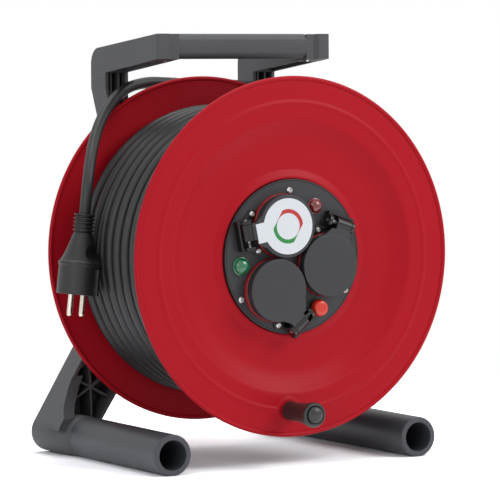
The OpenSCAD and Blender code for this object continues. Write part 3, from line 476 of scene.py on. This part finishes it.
def use_effect(tree, name, **values):
    """Places a shared effect in a material with its own values."""
    if name not in EFFECTS:
        EFFECTS[name] = {"grain": grain_effect, "wear": wear_effect}[name]()
    node = tree.nodes.new("ShaderNodeGroup")
    node.node_tree = EFFECTS[name]
    for label, value in values.items():
        node.inputs[label].default_value = value
    return node


def finish(name, colour, worn=None, amount=0.25, wear_scale=60.0, roughness=0.5, spread=0.12,
           grain=900.0, bump=0.05, depth=0.0002, metallic=0.0, coat=0.0, coat_rough=0.1,
           specular=0.5):
    """A material: colour from the wear effect, roughness and height from the grain."""
    material = bpy.data.materials.new(name)
    material.use_nodes = True
    tree = material.node_tree
    shader = tree.nodes["Principled BSDF"]
    worn = worn or tuple(min(1.0, c * 1.5 + 0.02) for c in colour)
    wear = use_effect(tree, "wear", Base=(*colour, 1), Worn=(*worn, 1), Amount=amount,
                      Scale=wear_scale)
    texture = use_effect(tree, "grain", Scale=grain, Roughness=roughness, Spread=spread)
    height = tree.nodes.new("ShaderNodeBump")
    height.inputs["Strength"].default_value = bump
    height.inputs["Distance"].default_value = depth
    tree.links.new(texture.outputs["Height"], height.inputs["Height"])
    tree.links.new(height.outputs["Normal"], shader.inputs["Normal"])
    tree.links.new(wear.outputs["Color"], shader.inputs["Base Color"])
    tree.links.new(texture.outputs["Roughness"], shader.inputs["Roughness"])
    shader.inputs["Metallic"].default_value = metallic
    shader.inputs["Coat Weight"].default_value = coat
    shader.inputs["Coat Roughness"].default_value = coat_rough
    shader.inputs["Specular IOR Level"].default_value = specular
    return material


MATERIALS = {}


def material(name):
    """The finish of that name, made when it is first asked for."""
    if name not in MATERIALS:
        MATERIALS[name] = FINISHES[name](bpy.context.scene.reel_colours)
    return MATERIALS[name]


def label_finish(_):
    """White printed film: two broad arcs of green and of red round a plain middle.

    An arc shows where the distance from the middle is in a band and the direction from
    the middle is on its side of a slanted line."""
    mat = finish("Printed film", srgb(232, 236, 240), amount=0.1, roughness=0.35, bump=0.01,
                 coat=0.3)
    tree = mat.node_tree
    low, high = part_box("label_disc")
    centre = (low + high) / 2
    coords = tree.nodes.new("ShaderNodeTexCoord")
    move = tree.nodes.new("ShaderNodeMapping")
    move.vector_type = "POINT"
    move.inputs["Location"].default_value = (-centre.x, 0, -centre.z)
    tree.links.new(coords.outputs["Object"], move.inputs["Vector"])
    parts = tree.nodes.new("ShaderNodeSeparateXYZ")
    tree.links.new(move.outputs["Vector"], parts.inputs["Vector"])
    x, z = parts.outputs["X"], parts.outputs["Z"]
    squares = maths(tree, "ADD", maths(tree, "MULTIPLY", x, x), maths(tree, "MULTIPLY", z, z))
    radius = maths(tree, "SQRT", squares, 0.0)
    band = maths(tree, "MULTIPLY", ramp(tree, radius, 0.0112, 0.0113),
                 ramp(tree, radius, 0.0148, 0.0147))
    slant = maths(tree, "ADD", maths(tree, "MULTIPLY", x, 0.5), maths(tree, "MULTIPLY", z, 0.866))
    across = maths(tree, "ABSOLUTE", maths(
        tree, "SUBTRACT", maths(tree, "MULTIPLY", x, 0.866), maths(tree, "MULTIPLY", z, 0.5)), 0)
    clear = ramp(tree, across, 0.0118, 0.0117)
    above = ramp(tree, slant, 0.0, 0.0001)
    below = ramp(tree, slant, 0.0, -0.0001)
    colour = None
    shader = tree.nodes["Principled BSDF"]
    base = shader.inputs["Base Color"].links[0].from_socket
    for side, tint in ((above, srgb(196, 44, 40)), (below, srgb(28, 140, 60))):
        mask = maths(tree, "MULTIPLY", maths(tree, "MULTIPLY", band, side), clear)
        mix = tree.nodes.new("ShaderNodeMix")
        mix.data_type = "RGBA"
        tree.links.new(mask, mix.inputs["Factor"])
        tree.links.new(colour or base, mix.inputs[6])
        mix.inputs[7].default_value = (*tint, 1)
        colour = mix.outputs[2]
    tree.links.new(colour, shader.inputs["Base Color"])
    return mat


FINISHES = {
    "enamel": lambda c: finish(
        "Stove enamel", tuple(c.enamel), worn=tuple(v * 1.15 for v in c.enamel), amount=0.3,
        wear_scale=90.0, roughness=0.42,
        spread=0.12, grain=420.0, bump=0.04, depth=0.0002, specular=0.13),
    "stand": lambda c: finish(
        "Stand moulding", tuple(c.stand), amount=0.22, roughness=0.56, spread=0.14,
        grain=1500.0, bump=0.16, depth=0.0002),
    "tube": lambda c: finish(
        "Foot tube", tuple(c.tube), amount=0.22, roughness=0.46, spread=0.12,
        grain=1300.0, bump=0.10, depth=0.0002),
    "hub": lambda c: finish(
        "Hub moulding", tuple(c.hub), amount=0.16, roughness=0.50, spread=0.10,
        grain=1900.0, bump=0.14, depth=0.00015),
    "black": lambda c: finish(
        "Black moulding", srgb(30, 30, 33), amount=0.2, roughness=0.38, spread=0.12,
        grain=1500.0, bump=0.08, depth=0.00015),
    "cable": lambda c: finish(
        "Cable sheath", tuple(c.cable), worn=srgb(92, 90, 88), amount=0.22, wear_scale=150.0,
        roughness=0.47, spread=0.16, grain=700.0, bump=0.12, depth=0.0002),
    "plug": lambda c: finish(
        "Plug rubber", srgb(27, 27, 29), worn=srgb(72, 72, 72), amount=0.25, roughness=0.45,
        grain=1100.0, bump=0.14, depth=0.0002),
    "zinc": lambda c: finish(
        "Zinc plate", srgb(196, 196, 194), worn=srgb(150, 150, 150), amount=0.4,
        roughness=0.3, metallic=1.0, grain=2600.0, bump=0.05),
    "spring": lambda c: finish(
        "Blackened wire", srgb(60, 60, 62), worn=srgb(120, 120, 120), amount=0.3,
        roughness=0.35, metallic=1.0, grain=2600.0, bump=0.05),
    "nickel": lambda c: finish(
        "Nickel plate", srgb(216, 208, 196), worn=srgb(176, 168, 152), amount=0.3,
        roughness=0.2, metallic=1.0, grain=2600.0, bump=0.03),
    "brass": lambda c: finish(
        "Brass", srgb(190, 150, 78), worn=srgb(140, 110, 60), amount=0.4, roughness=0.3,
        metallic=1.0, grain=2400.0, bump=0.04),
    "seal": lambda c: finish(
        "Red seal", srgb(150, 26, 28), amount=0.15, roughness=0.45, grain=1500.0, bump=0.1),
    "green": lambda c: finish(
        "Green lens", srgb(6, 112, 66), worn=srgb(30, 150, 96), amount=0.4, wear_scale=260.0,
        roughness=0.14, spread=0.06, grain=260.0, bump=0.05, coat=0.8, coat_rough=0.04),
    "red": lambda c: finish(
        "Red lens", srgb(122, 22, 26), worn=srgb(176, 60, 60), amount=0.4, wear_scale=260.0,
        roughness=0.14, spread=0.06, grain=260.0, bump=0.05, coat=0.8, coat_rough=0.04),
    "button": lambda c: finish(
        "Button", srgb(222, 52, 26), amount=0.2, roughness=0.3, spread=0.06, grain=900.0,
        bump=0.06, coat=0.3),
    "knob": lambda c: finish(
        "Knob moulding", srgb(37, 39, 38), amount=0.2, roughness=0.36, spread=0.1,
        grain=1300.0, bump=0.08),
    "hinge": lambda c: finish(
        "Hinge moulding", srgb(15, 15, 17), worn=srgb(52, 52, 54), amount=0.2, roughness=0.3,
        spread=0.1, grain=1500.0, bump=0.08, depth=0.00015),
    "cream": lambda c: finish(
        "Terminal moulding", srgb(212, 206, 190), amount=0.2, roughness=0.45, grain=900.0),
    "label": label_finish,
}


# ---- Stage ----

def camera_matrix():
    """The camera's turn and place: in front of the reel and to its left by the turn,
    looking down by the fall, with a slight roll."""
    turn, fall, roll = (math.radians(angle) for angle in CAMERA_ANGLES)
    back = Vector((-math.sin(turn) * math.cos(fall), -math.cos(turn) * math.cos(fall),
                   math.sin(fall)))
    right = Vector((math.cos(turn), -math.sin(turn), 0))
    up = back.cross(right)
    right, up = (math.cos(roll) * right + math.sin(roll) * up,
                 math.cos(roll) * up - math.sin(roll) * right)
    at = Vector(ORIGIN) + Vector(CAMERA_AIM) * MM + back * CAMERA_AWAY * MM
    return Matrix((right, up, back)).transposed().to_4x4(), at


def area_light(name, at, target, size, power):
    """A square lamp at a point, facing the target."""
    data = bpy.data.lights.new(name, "AREA")
    data.size = size
    data.energy = power
    obj = bpy.data.objects.new(name, data)
    obj.location = at
    obj.rotation_euler = (Vector(target) - Vector(at)).to_track_quat("-Z", "Y").to_euler()
    bpy.context.scene.collection.objects.link(obj)


def seen_ray(tree):
    """One where a camera, glossy or transmission ray meets the surface, else nought."""
    path = tree.nodes.new("ShaderNodeLightPath")
    seen = maths(tree, "MAXIMUM", path.outputs["Is Camera Ray"], path.outputs["Is Glossy Ray"])
    return maths(tree, "MAXIMUM", seen, path.outputs["Is Transmission Ray"])


class REEL_OT_stage(bpy.types.Operator):
    """Pale floor, soft lamps, plain world and the camera"""

    bl_idname = "reel.stage"
    bl_label = "Stage"

    def execute(self, context):
        scene = context.scene
        data = bpy.data.cameras.new("camera")
        data.lens = 220.4
        data.sensor_width = 36.0
        data.clip_end = 50
        camera = bpy.data.objects.new("camera", data)
        turn, at = camera_matrix()
        camera.matrix_world = Matrix.Translation(at) @ turn
        scene.collection.objects.link(camera)
        scene.camera = camera
        scene.view_settings.view_transform = "Standard"

        half = 6.0
        floor = bpy.data.objects.new("floor", mesh_of(
            "floor", [(-half, -half, 0), (half, -half, 0), (half, half, 0), (-half, half, 0)],
            [(0, 1, 2, 3)]))
        scene.collection.objects.link(floor)
        floor.data.materials.append(self.floor_finish())

        area_light("key", (1.5, -1.7, 1.7), (0, 0, 0.17), 1.3, 30)
        area_light("fill", (-2.2, -1.3, 1.0), (0, 0, 0.18), 1.8, 12)
        area_light("top", (0.0, 0.3, 2.4), (0, 0, 0.2), 1.6, 20)
        self.world(scene)
        return {"FINISHED"}

    @staticmethod
    def white_to_camera(tree, dark_shader, output):
        """Shows white where a camera, glossy or transmission ray meets it."""
        seen = seen_ray(tree)
        white = tree.nodes.new("ShaderNodeBackground")
        mix = tree.nodes.new("ShaderNodeMixShader")
        tree.links.new(seen, mix.inputs["Fac"])
        tree.links.new(dark_shader, mix.inputs[1])
        tree.links.new(white.outputs[0], mix.inputs[2])
        tree.links.new(mix.outputs[0], output.inputs["Surface"])
        white.inputs["Color"].default_value = (1, 1, 1, 1)

    def world(self, scene):
        """A grey world for light, white where it is seen."""
        scene.world = bpy.data.worlds.new("world")
        scene.world.use_nodes = True
        tree = scene.world.node_tree
        grey = tree.nodes["Background"]
        grey.inputs["Color"].default_value = (0.92, 0.95, 1.0, 1)
        grey.inputs["Strength"].default_value = 0.42
        self.white_to_camera(tree, grey.outputs[0], tree.nodes["World Output"])

    @staticmethod
    def floor_finish():
        """Near-white matt floor; a camera, glossy or transmission ray meets a colour that
        is raised until the lit floor is white, so that only the shadow shows, and from
        0.4 m to 0.8 m from the middle it passes into plain white."""
        mat = finish("Floor", (0.8, 0.8, 0.8), worn=(0.82, 0.82, 0.82), amount=0.3,
                     roughness=0.8, grain=60.0, bump=0.01)
        tree = mat.node_tree
        seen = seen_ray(tree)
        raised = tree.nodes.new("ShaderNodeBsdfDiffuse")
        raised.inputs["Color"].default_value = (1.9, 1.9, 1.92, 1)
        white = tree.nodes.new("ShaderNodeEmission")
        away = tree.nodes.new("ShaderNodeVectorMath")
        away.operation = "LENGTH"
        tree.links.new(tree.nodes.new("ShaderNodeTexCoord").outputs["Object"], away.inputs[0])
        seen_floor = tree.nodes.new("ShaderNodeMixShader")
        tree.links.new(ramp(tree, away.outputs["Value"], 0.4, 0.8), seen_floor.inputs["Fac"])
        tree.links.new(raised.outputs[0], seen_floor.inputs[1])
        tree.links.new(white.outputs[0], seen_floor.inputs[2])
        mix = tree.nodes.new("ShaderNodeMixShader")
        tree.links.new(seen, mix.inputs["Fac"])
        tree.links.new(tree.nodes["Principled BSDF"].outputs[0], mix.inputs[1])
        tree.links.new(seen_floor.outputs[0], mix.inputs[2])
        tree.links.new(mix.outputs[0], tree.nodes["Material Output"].inputs["Surface"])
        return mat


# ---- Drum ----

def flange_line(hole, front):
    """The closed profile of a pressed flange, as (radius, depth) behind the rim plane.

    The face runs out from the hole over the dish, the step, the bead and the outer
    zone, goes round the rolled rim as an arc of a circle, and comes back a sheet
    thickness behind. The bead is a raised cosine, and only the front flange has it and
    the turned-up collar round its hole."""
    sheet = bpy.context.scene.reel_sizes.sheet / MM
    rim_r, rim_rad = FLANGE_R - 2.0, 2.0
    bead_r = np.linspace(135.5, 128.5, 17)
    rise = 0.4 if front else 0.0
    bead = np.column_stack([bead_r, 1.2 - rise * (1 + np.cos((bead_r - 132) / 3.5 * np.pi))])
    dish = filleted([(128.0, 1.2), (117.6, 1.2, 3.5), (113.6, 3.7, 4.0), (105.5, 7.6, 7.0),
                     (97.0, 9.9, 7.0), (86.0, 10.0, 4.0), (hole + 9.0, 10.0)], 8)
    outer = filleted([(rim_r - 1.9, 1.5), (rim_r - 6.0, 1.2, 3.5), (140.0, 1.2)], 6)
    face = np.concatenate([outer, bead, dish])
    arc = np.radians(np.linspace(166, -166, 33))
    rim = np.column_stack([rim_r + rim_rad * np.cos(arc), 2.0 + rim_rad * np.sin(arc)])
    if front:
        inner = filleted([(hole + 8.5, 10.0), (hole + 7.9, 9.9, 0.5), (hole + 2.2, 7.5, 1.2),
                          (hole, 7.6, 0.8), (hole, 11.2), (hole + 8.5, 11.2)], 5)
    else:
        inner = np.array([(hole, 10.0), (hole, 10.0 + sheet)])
    return np.concatenate([face, inner, face[::-1] + [0, sheet], rim])


class REEL_OT_flanges(bpy.types.Operator):
    """Pressed steel flanges with rolled rims, and the raised seat of the crank knob"""

    bl_idname = "reel.flanges"
    bl_label = "Flanges"

    def execute(self, context):
        steps = context.scene.reel_sizes.around
        red = material("enamel")
        front = flange_line(HUB_HOLE, True)
        seat = filleted([(0, 2.2), (0, 0.4), (10.6, 0.4, 1.2), (12.6, 1.3, 1.0), (12.8, 2.2)], 6)
        mesh = joined("front", [
            revolved(front, steps=steps), revolved(seat, KNOB_AXIS, 64, closed=True)])
        piece("front_flange_pressed", mesh, red, "drum", 30,
              replaces=("front_flange",))
        rear = flange_line(BEARING_HOLE, False) * [1, -1] + [0, DRUM_W]
        piece("rear_flange_pressed", revolved(rear, steps=steps), red, "drum", 30,
              replaces=("rear_flange",))
        return {"FINISHED"}


class REEL_OT_winding(bpy.types.Operator):
    """The cable on the drum: the outer layer of turns over the layer beneath"""

    bl_idname = "reel.winding"
    bl_label = "Winding"

    @staticmethod
    def layer(radius, first, last, pitch, per_turn, wander):
        """A helix in the drum's frame that ends at angle 0: the depth grows evenly with
        the angle, and slow sine waves of unlike periods move it by the wander."""
        turns = (last - first) / pitch
        n = int(round(turns * per_turn))
        s = np.linspace(0, 1, n + 1)
        a = TAU * turns * (s - 1)
        fade = np.clip((1 - s) * turns, 0, 1)
        drift = wander * fade * (np.sin(1.31 * a) * 0.6 + np.sin(0.37 * a + 1.0) * 0.4)
        sink = wander * fade * (np.sin(2.17 * a + 0.6) * 0.5 - 0.5)
        r = radius + sink
        return np.stack([r * np.cos(a), first + (last - first) * s + drift, r * np.sin(a)], -1)

    def execute(self, context):
        sizes = context.scene.reel_sizes
        d = sizes.cable / MM
        pitch, first = sizes.pitch / MM, sizes.first_turn / MM
        end = CABLE_ROUTE[0]
        outer = self.layer(sizes.wind_radius / MM, first, end[1], pitch, 96, 0.35)
        # The first turn rises from the layer beneath over its first quarter
        quarter = np.arange(len(outer)) / 24.0
        rise = np.clip(1 - quarter, 0, 1) ** 2 * 7.5
        spoke = outer * [1, 0, 1] / np.linalg.norm(outer * [1, 0, 1], axis=1)[:, None]
        outer = outer - spoke * rise[:, None]
        tail = np.stack([np.full(6, end[0]), np.full(6, end[1]), np.linspace(2, end[2], 6)], -1)
        path = np.concatenate([outer, tail])
        piece("cable_winding_turns", swept(place(path), d / 2 * MM, 20), material("cable"),
              "drum", 60, replaces=("cable_winding",))
        # The layer beneath runs the other way, over a plain sleeve that closes its gaps
        under = self.layer(UNDER_R, 17.0, 148.0, d + 0.5, 72, 0.3) * [1, 1, -1]
        sleeve = revolved([(95.4, 11.6), (110.5, 11.6), (110.5, 153.4), (95.4, 153.4)], steps=96)
        piece("cable_under_layer", joined("under", [swept(place(under), d / 2 * MM, 12), sleeve]),
              material("cable"), "drum", 40, replaces=("cable_core",))
        return {"FINISHED"}


class REEL_OT_free_cable(bpy.types.Operator):
    """The free end of the cable with its plug"""

    bl_idname = "reel.free_cable"
    bl_label = "Free cable and plug"

    @staticmethod
    def plug_points(points):
        """Local points, with the depth along -z, turned about the plug's axis, leaned about
        the axle's direction and moved to the end of the cable."""
        t, c, s = PLUG_TURN, math.cos(PLUG_LEAN), math.sin(PLUG_LEAN)
        x = points[..., 0] * math.cos(t) - points[..., 1] * math.sin(t)
        y = points[..., 0] * math.sin(t) + points[..., 1] * math.cos(t)
        z = points[..., 2]
        return place(np.stack([c * x + s * z, y, -s * x + c * z], -1) + CABLE_ROUTE[-1])

    @classmethod
    def plug_mesh(cls, line, steps=96, centre=0.0, shaped=False):
        """A shape turned about a line beside the plug's axis: (r cos a, r sin a, -depth).

        A shaped one has the recess of a round finger on each side, where the side's
        distance is held to that of a circle in the plane of depth and side, and a slot
        for the earth contact at each side of its cup."""
        a = np.arange(steps) * TAU / steps
        r = np.asarray(line)[:, :1]
        h = np.repeat(np.asarray(line)[:, 1:2], steps, 1)
        x, y = r * np.cos(a), r * np.sin(a)
        if shaped:
            reach = np.sqrt(np.clip(12.5**2 - (h - 30.3) ** 2, 0, None))
            limit = np.where(reach > 0, 22.8 - reach, 30.0)
            y = np.clip(y, -limit, limit)
            slot = (np.abs(x) < 3.0) & (h > 47.0) & (r > 10)
            y = np.where(slot, np.clip(y, -16.4, 16.4), y)
        points = cls.plug_points(np.stack([x + centre, y, -h], -1))
        return tidy(mesh_of("plug", points, grid_faces(len(line), steps, False, True)))

    def execute(self, context):
        d = context.scene.reel_sizes.cable
        path = smooth_line(place(CABLE_ROUTE))
        cable = piece("free_cable_sheath", swept(path, d / 2, 20), material("cable"), "drum",
                      60, replaces=("free_cable",))

        # Sleeve: ribs as a row of rounded steps
        h = np.linspace(0.3, 15.7, 97)
        rib = np.clip(np.cos((h - 0.9) / 3.3 * TAU) * 2.4, -1, 1) * 0.5 + 0.5
        line = np.concatenate([[(0, 0), (7.2, 0)], np.column_stack([7.5 + 1.7 * rib, h]),
                               [(8.0, 16.0), (0, 16.0)]])
        sleeve = piece("plug_sleeve_ribbed", self.plug_mesh(line), material("plug"), "drum",
                       50, replaces=("plug_sleeve",))
        flare = filleted([(0, 16), (8.0, 16.0, 0.5), (9.5, 20.2, 2.0), (11.0, 25.4, 3.0),
                          (12.9, 30.6, 3.0), (15.4, 36.8, 3.0), (17.7, 41.2, 1.0),
                          (19.0, 42.0, 0.6), (19.0, 44.5, 0.6), (18.2, 45.1, 0.4),
                          (18.2, 46.9), (18.2, 47.1), (18.2, 70.0, 0.8), (16.6, 70.0, 0.5),
                          (16.3, 69.3, 0.4), (0, 69.3)], 7)
        body = piece("plug_body_moulded", self.plug_mesh(flare, 144, shaped=True),
                     material("plug"), "drum", 38, replaces=("plug_body",))
        line = filleted([(0, 62.5), (2.4, 62.5), (2.4, 87.6, 1.4), (1.3, 89.0, 0.8), (0, 89.0)], 5)
        pins = [self.plug_mesh(line, 32, centre=side * PIN_SIDE) for side in (-1, 1)]
        pins = piece("plug_pins_plated", joined("pins", pins), material("nickel"), "drum",
                     40, replaces=("plug_pins",))
        return {"FINISHED"}


# ---- Hub ----

def socket_centre(i):
    """Centre of socket i on the hub, at its radius and angle."""
    a = math.radians(SOCKET_ANGLES[i])
    return SOCKET_R * math.cos(a), SOCKET_R * math.sin(a) - PATTERN_DROP


def at_socket(mesh, i):
    """Puts a local mesh, with +x towards the hinge, at socket i."""
    return local_to_drum(mesh, math.radians(SOCKET_ANGLES[i] + HINGE_TURN), socket_centre(i))


class REEL_OT_hub(bpy.types.Operator):
    """Bezel, socket plate, seals, lamps and reset button"""

    bl_idname = "reel.hub"
    bl_label = "Hub"

    def execute(self, context):
        bezel = filleted([
            (65.3, 5.0), (66.5, 5.0, 0.5), (66.5, 11.2), (76.5, 11.2, 0.4), (76.5, 14.2, 0.4),
            (63.5, 14.2, 0.5), (63.5, 47.0, 2.0), (5.4, 47.0), (5.4, 44.5), (61.0, 44.5, 1.5),
            (61.0, 11.0), (60.0, 11.0), (60.0, 8.0), (65.3, 8.0)], 5, closed=True)
        piece("socket_housing_bezel", revolved(bezel, steps=192), material("black"), "drum",
              30, replaces=("socket_housing",))
        softened("socket_plate", 0.0005, material("hub"), 2)
        for i in range(3):
            centre = socket_centre(i)
            ring = filleted([(20.5, 5.0), (20.5, 1.1, 0.5), (26.9, 1.0, 0.7), (27.5, 1.8, 0.5),
                             (27.5, 5.0)], 5, closed=True)
            piece(f"seal_{i + 1}_moulded", revolved(ring, centre, 96), material("seal"), "drum",
                  35, replaces=(f"seal_ring_{i + 1}",))
        for name, tint, angle, size in LAMPS:
            self.dome(name, tint, angle, size)
        a = math.radians(BUTTON_ANGLE)
        centre = (BUTTON_R * math.cos(a), BUTTON_R * math.sin(a) - PATTERN_DROP)
        front = PLATE_Y - REST_GAP - BUTTON_TRAVEL - BUTTON_H
        line = filleted([(0, front), (4.6, front + 0.1, 2.0), (6.8, front + 1.4, 1.6),
                         (7.4, front + 5.6, 0.5), (7.4, front + BUTTON_H), (6.3, front + BUTTON_H),
                         (6.3, front + 3.0), (3.5, front + 3.0), (3.5, 18.0), (0, 18.0)], 6)
        piece("reset_button_cap", revolved(line, centre, 64, closed=False), material("button"),
              "reset_button", 35, replaces=("reset_button",))
        return {"FINISHED"}

    @staticmethod
    def dome(name, tint, angle, size):
        """A lamp's lens: a half ellipse turned about its axis, on a collar and a stem."""
        a = math.radians(angle)
        centre = (LAMP_R * math.cos(a), LAMP_R * math.sin(a) - PATTERN_DROP)
        t = np.linspace(0, math.pi / 2, 17)
        cap = np.column_stack([(size - 0.9) * np.sin(t), PLATE_Y - 1.3 - (size * 0.68) * np.cos(t)])
        collar = filleted([(size - 0.9, PLATE_Y - 1.3), (size, PLATE_Y - 1.1, 0.4), (size, PLATE_Y),
                           (size - 2.0, PLATE_Y), (size - 2.0, 23.0), (0, 23.0)], 3)
        piece(f"{name}_lens", revolved(np.concatenate([cap, collar]), centre, 64, closed=False),
              material(tint), "drum", 35, replaces=(name,))


class REEL_OT_lids(bpy.types.Operator):
    """Three hinged socket lids, their hinges and the label"""

    bl_idname = "reel.lids"
    bl_label = "Lids"

    @staticmethod
    def lid_mesh(i):
        """A flat cap turned about the socket, with a tapering flap out to the knuckle."""
        line = filleted([(0, LID_FRONT), (LID_R, LID_FRONT, 1.1), (LID_R, LID_BACK, 0.3),
                         (24.5, LID_BACK, 0.3), (24.5, LID_FRONT + LID_SKIN, 1.0),
                         (0, LID_FRONT + LID_SKIN)], 6)
        end = HINGE_REACH - KNUCKLE_R - 0.6
        # The flap lies a little behind the cap's face, so that no two faces share a plane
        flap = slab([(20, -15), (25, -13), (end, -8.5), (end, 8.5), (25, 13), (20, 15)],
                    LID_FRONT + FLAP_SET, LID_FRONT + 2.4)
        low, high = KNUCKLE_SPAN
        arm = slab([(24.5, low), (HINGE_REACH - 3, low), (HINGE_REACH - 3, high), (24.5, high)],
                   LID_FRONT + 0.2, PIN_Y)
        return joined("lid", [revolved(line, socket_centre(i), 128, closed=False),
                              at_socket(flap, i), at_socket(arm, i)])

    @staticmethod
    def knuckle_mesh(i):
        """The barrel round the hinge pin: a tube along the pin."""
        a = np.arange(48) * TAU / 48
        ring = np.stack([np.cos(a), np.sin(a)], -1)
        low, high = KNUCKLE_SPAN
        levels = [(1.55, low), (KNUCKLE_R - 0.3, low), (KNUCKLE_R, -9.4), (KNUCKLE_R, 4.4),
                  (KNUCKLE_R - 0.3, high), (1.55, high)]
        points = np.concatenate([np.column_stack([
            HINGE_REACH + r * ring[:, 0], PIN_Y + r * ring[:, 1], np.full(48, z)])
            for r, z in levels])
        return at_socket(mesh_of("knuckle", points, grid_faces(6, 48, True, True)), i)

    @staticmethod
    def label_mesh():
        """The film on the second lid: a disc with a strap over the flap."""
        a = np.radians(np.linspace(20.7, 339.3, 81))
        outline = [(24 * math.cos(v), 24 * math.sin(v)) for v in a] + [(30.8, -8.4), (30.8, 8.4)]
        return at_socket(slab(outline, LID_FRONT - 0.6, LID_FRONT), 1)

    def execute(self, context):
        for i in range(3):
            body = f"lid_{i + 1}"
            cap = piece(f"lid_{i + 1}_cap", self.lid_mesh(i), material("hub"), body,
                        35, replaces=(body,))
            bevel(cap, 0.0004, 2)
            piece(f"lid_{i + 1}_knuckle", self.knuckle_mesh(i), material("hinge"), body,
                  35)
            softened(f"hinge_block_{i + 1}", 0.0005, material("hinge"), 2)
        piece("label_film", self.label_mesh(), material("label"), "lid_2", 35,
              replaces=("label_disc",))
        return {"FINISHED"}


# ---- Stand and knob ----

class REEL_OT_stand(bpy.types.Operator):
    """The stand's mouldings, the foot tubes and the grip"""

    bl_idname = "reel.stand"
    bl_label = "Stand"

    def execute(self, context):
        edge = context.scene.reel_sizes.frame_edge
        for side in ("left", "right"):
            softened(f"{side}_side_frame", edge, material("stand"))
            self.foot_tube(side)
        softened("handle_grip", edge * 0.8, material("stand"))
        softened("bearing_carrier", edge * 0.8, material("stand"))
        softened("axle_cap", edge * 0.8, material("black"))
        softened("axle_nut", edge * 0.5, material("zinc"))
        return {"FINISHED"}

    @staticmethod
    def foot_tube(side):
        """A tapered tube turned about its axis, with every point below the ground raised
        to it, which gives the tube its narrow flat."""
        low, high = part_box(f"{side}_foot_tube")
        x = (low.x + high.x) / 2 / MM
        length = (high.y - low.y) / MM
        y0 = (low.y - ORIGIN[1]) / MM
        line = filleted([
            (TUBE_BORE, y0, 0.8), (17.6, y0, 1.6), (18.2, y0 + length, 0.5),
            (14.0, y0 + length, 0.3),
            (14.0, y0 + length - 32.3), (TUBE_BORE, y0 + length - 32.3)], 6, closed=True)
        mesh = revolved(line, (x, TUBE_Z), 128)
        points = np.empty(len(mesh.vertices) * 3)
        mesh.vertices.foreach_get("co", points)
        points = points.reshape(-1, 3)
        points[:, 2] = np.maximum(points[:, 2], 0.0)
        mesh.vertices.foreach_set("co", points.ravel())
        piece(f"{side}_foot_tube_turned", mesh, material("tube"), "stand", 40,
              replaces=(f"{side}_foot_tube",))


class REEL_OT_knob(bpy.types.Operator):
    """The crank knob: a flared sleeve with a ring groove and a domed cap"""

    bl_idname = "reel.knob"
    bl_label = "Crank knob"

    def execute(self, context):
        sleeve = filleted([
            (4.05, -2.5), (8.6, -2.5, 0.6), (8.0, -6.0, 3.0), (8.1, -20.0, 8.0),
            (9.6, -35.0, 4.0), (10.7, -38.6, 1.5), (10.75, -42.0, 1.0), (9.7, -44.0, 1.0),
            (7.9, -43.4, 0.4), (7.6, -41.3), (5.8, -41.3), (5.8, -37.7), (4.05, -37.7)], 7,
            closed=True)
        piece("knob_sleeve_turned", revolved(sleeve, KNOB_AXIS, 96), material("knob"), "knob",
              38, replaces=("knob_sleeve",))
        t = np.linspace(0, math.pi / 2, 15)
        dome = np.column_stack([7.3 * np.sin(t), -43.2 - 3.8 * np.cos(t)])
        line = np.concatenate([dome, [(7.3, -41.4), (0, -41.4)]])
        piece("knob_cap_domed", revolved(line, KNOB_AXIS, 64, closed=False), material("knob"),
              "knob", 40, replaces=("knob_cap",))
        return {"FINISHED"}


# The finish of each CAD node that stays as it is
KEPT_NODES = {
    "enamel": ("drum_barrel",),
    "black": ("hub_bearing", "cable_gland", "thermal_cutout", "socket_insert_1",
              "socket_insert_2", "socket_insert_3"),
    "cable": ("inner_lead",),
    "zinc": ("handle_screws", "carrier_screws", "axle_tube", "retaining_washer", "circlip",
             "hub_screws", "plate_screws", "hinge_screws", "hinge_pin_1", "hinge_pin_2",
             "hinge_pin_3", "knob_spindle"),
    "spring": ("lid_spring_1", "lid_spring_2", "lid_spring_3"),
    "nickel": ("plug_earth_contacts",),
    "brass": ("earth_clips",),
    "cream": ("terminal_block",),
}


class REEL_OT_fittings(bpy.types.Operator):
    """Finishes for the frame's own small parts"""

    bl_idname = "reel.fittings"
    bl_label = "Fittings"

    def execute(self, context):
        for name, nodes in KEPT_NODES.items():
            for node in nodes:
                mesh = frame["nodes"][node].data
                mesh.materials.clear()
                mesh.materials.append(material(name))
        return {"FINISHED"}


class REEL_PT_panel(bpy.types.Panel):
    """Lists the pieces of the reel"""

    bl_label = "Extension Cord Reel"
    bl_space_type = "VIEW_3D"
    bl_region_type = "UI"
    bl_category = "Reel"

    def draw(self, context):
        for operator in OPERATORS:
            self.layout.operator(operator.bl_idname)
        for group in (context.scene.reel_sizes, context.scene.reel_colours):
            for label in group.__annotations__:
                self.layout.prop(group, label)


OPERATORS = (
    REEL_OT_stage, REEL_OT_free_cable, REEL_OT_winding, REEL_OT_flanges, REEL_OT_hub,
    REEL_OT_lids, REEL_OT_stand, REEL_OT_knob, REEL_OT_fittings,
)
CLASSES = (ReelSizes, ReelColours, *OPERATORS, REEL_PT_panel)


def register():
    for cls in CLASSES:
        bpy.utils.register_class(cls)
    bpy.types.Scene.reel_sizes = PointerProperty(type=ReelSizes)
    bpy.types.Scene.reel_colours = PointerProperty(type=ReelColours)


def unregister():
    del bpy.types.Scene.reel_colours
    del bpy.types.Scene.reel_sizes
    for cls in reversed(CLASSES):
        bpy.utils.unregister_class(cls)


def main():
    register()
    for operator in OPERATORS:
        group, name = operator.bl_idname.split(".")
        getattr(getattr(bpy.ops, group), name)()
    bpy.context.view_layer.update()


if __name__ == "__main__":
    main()
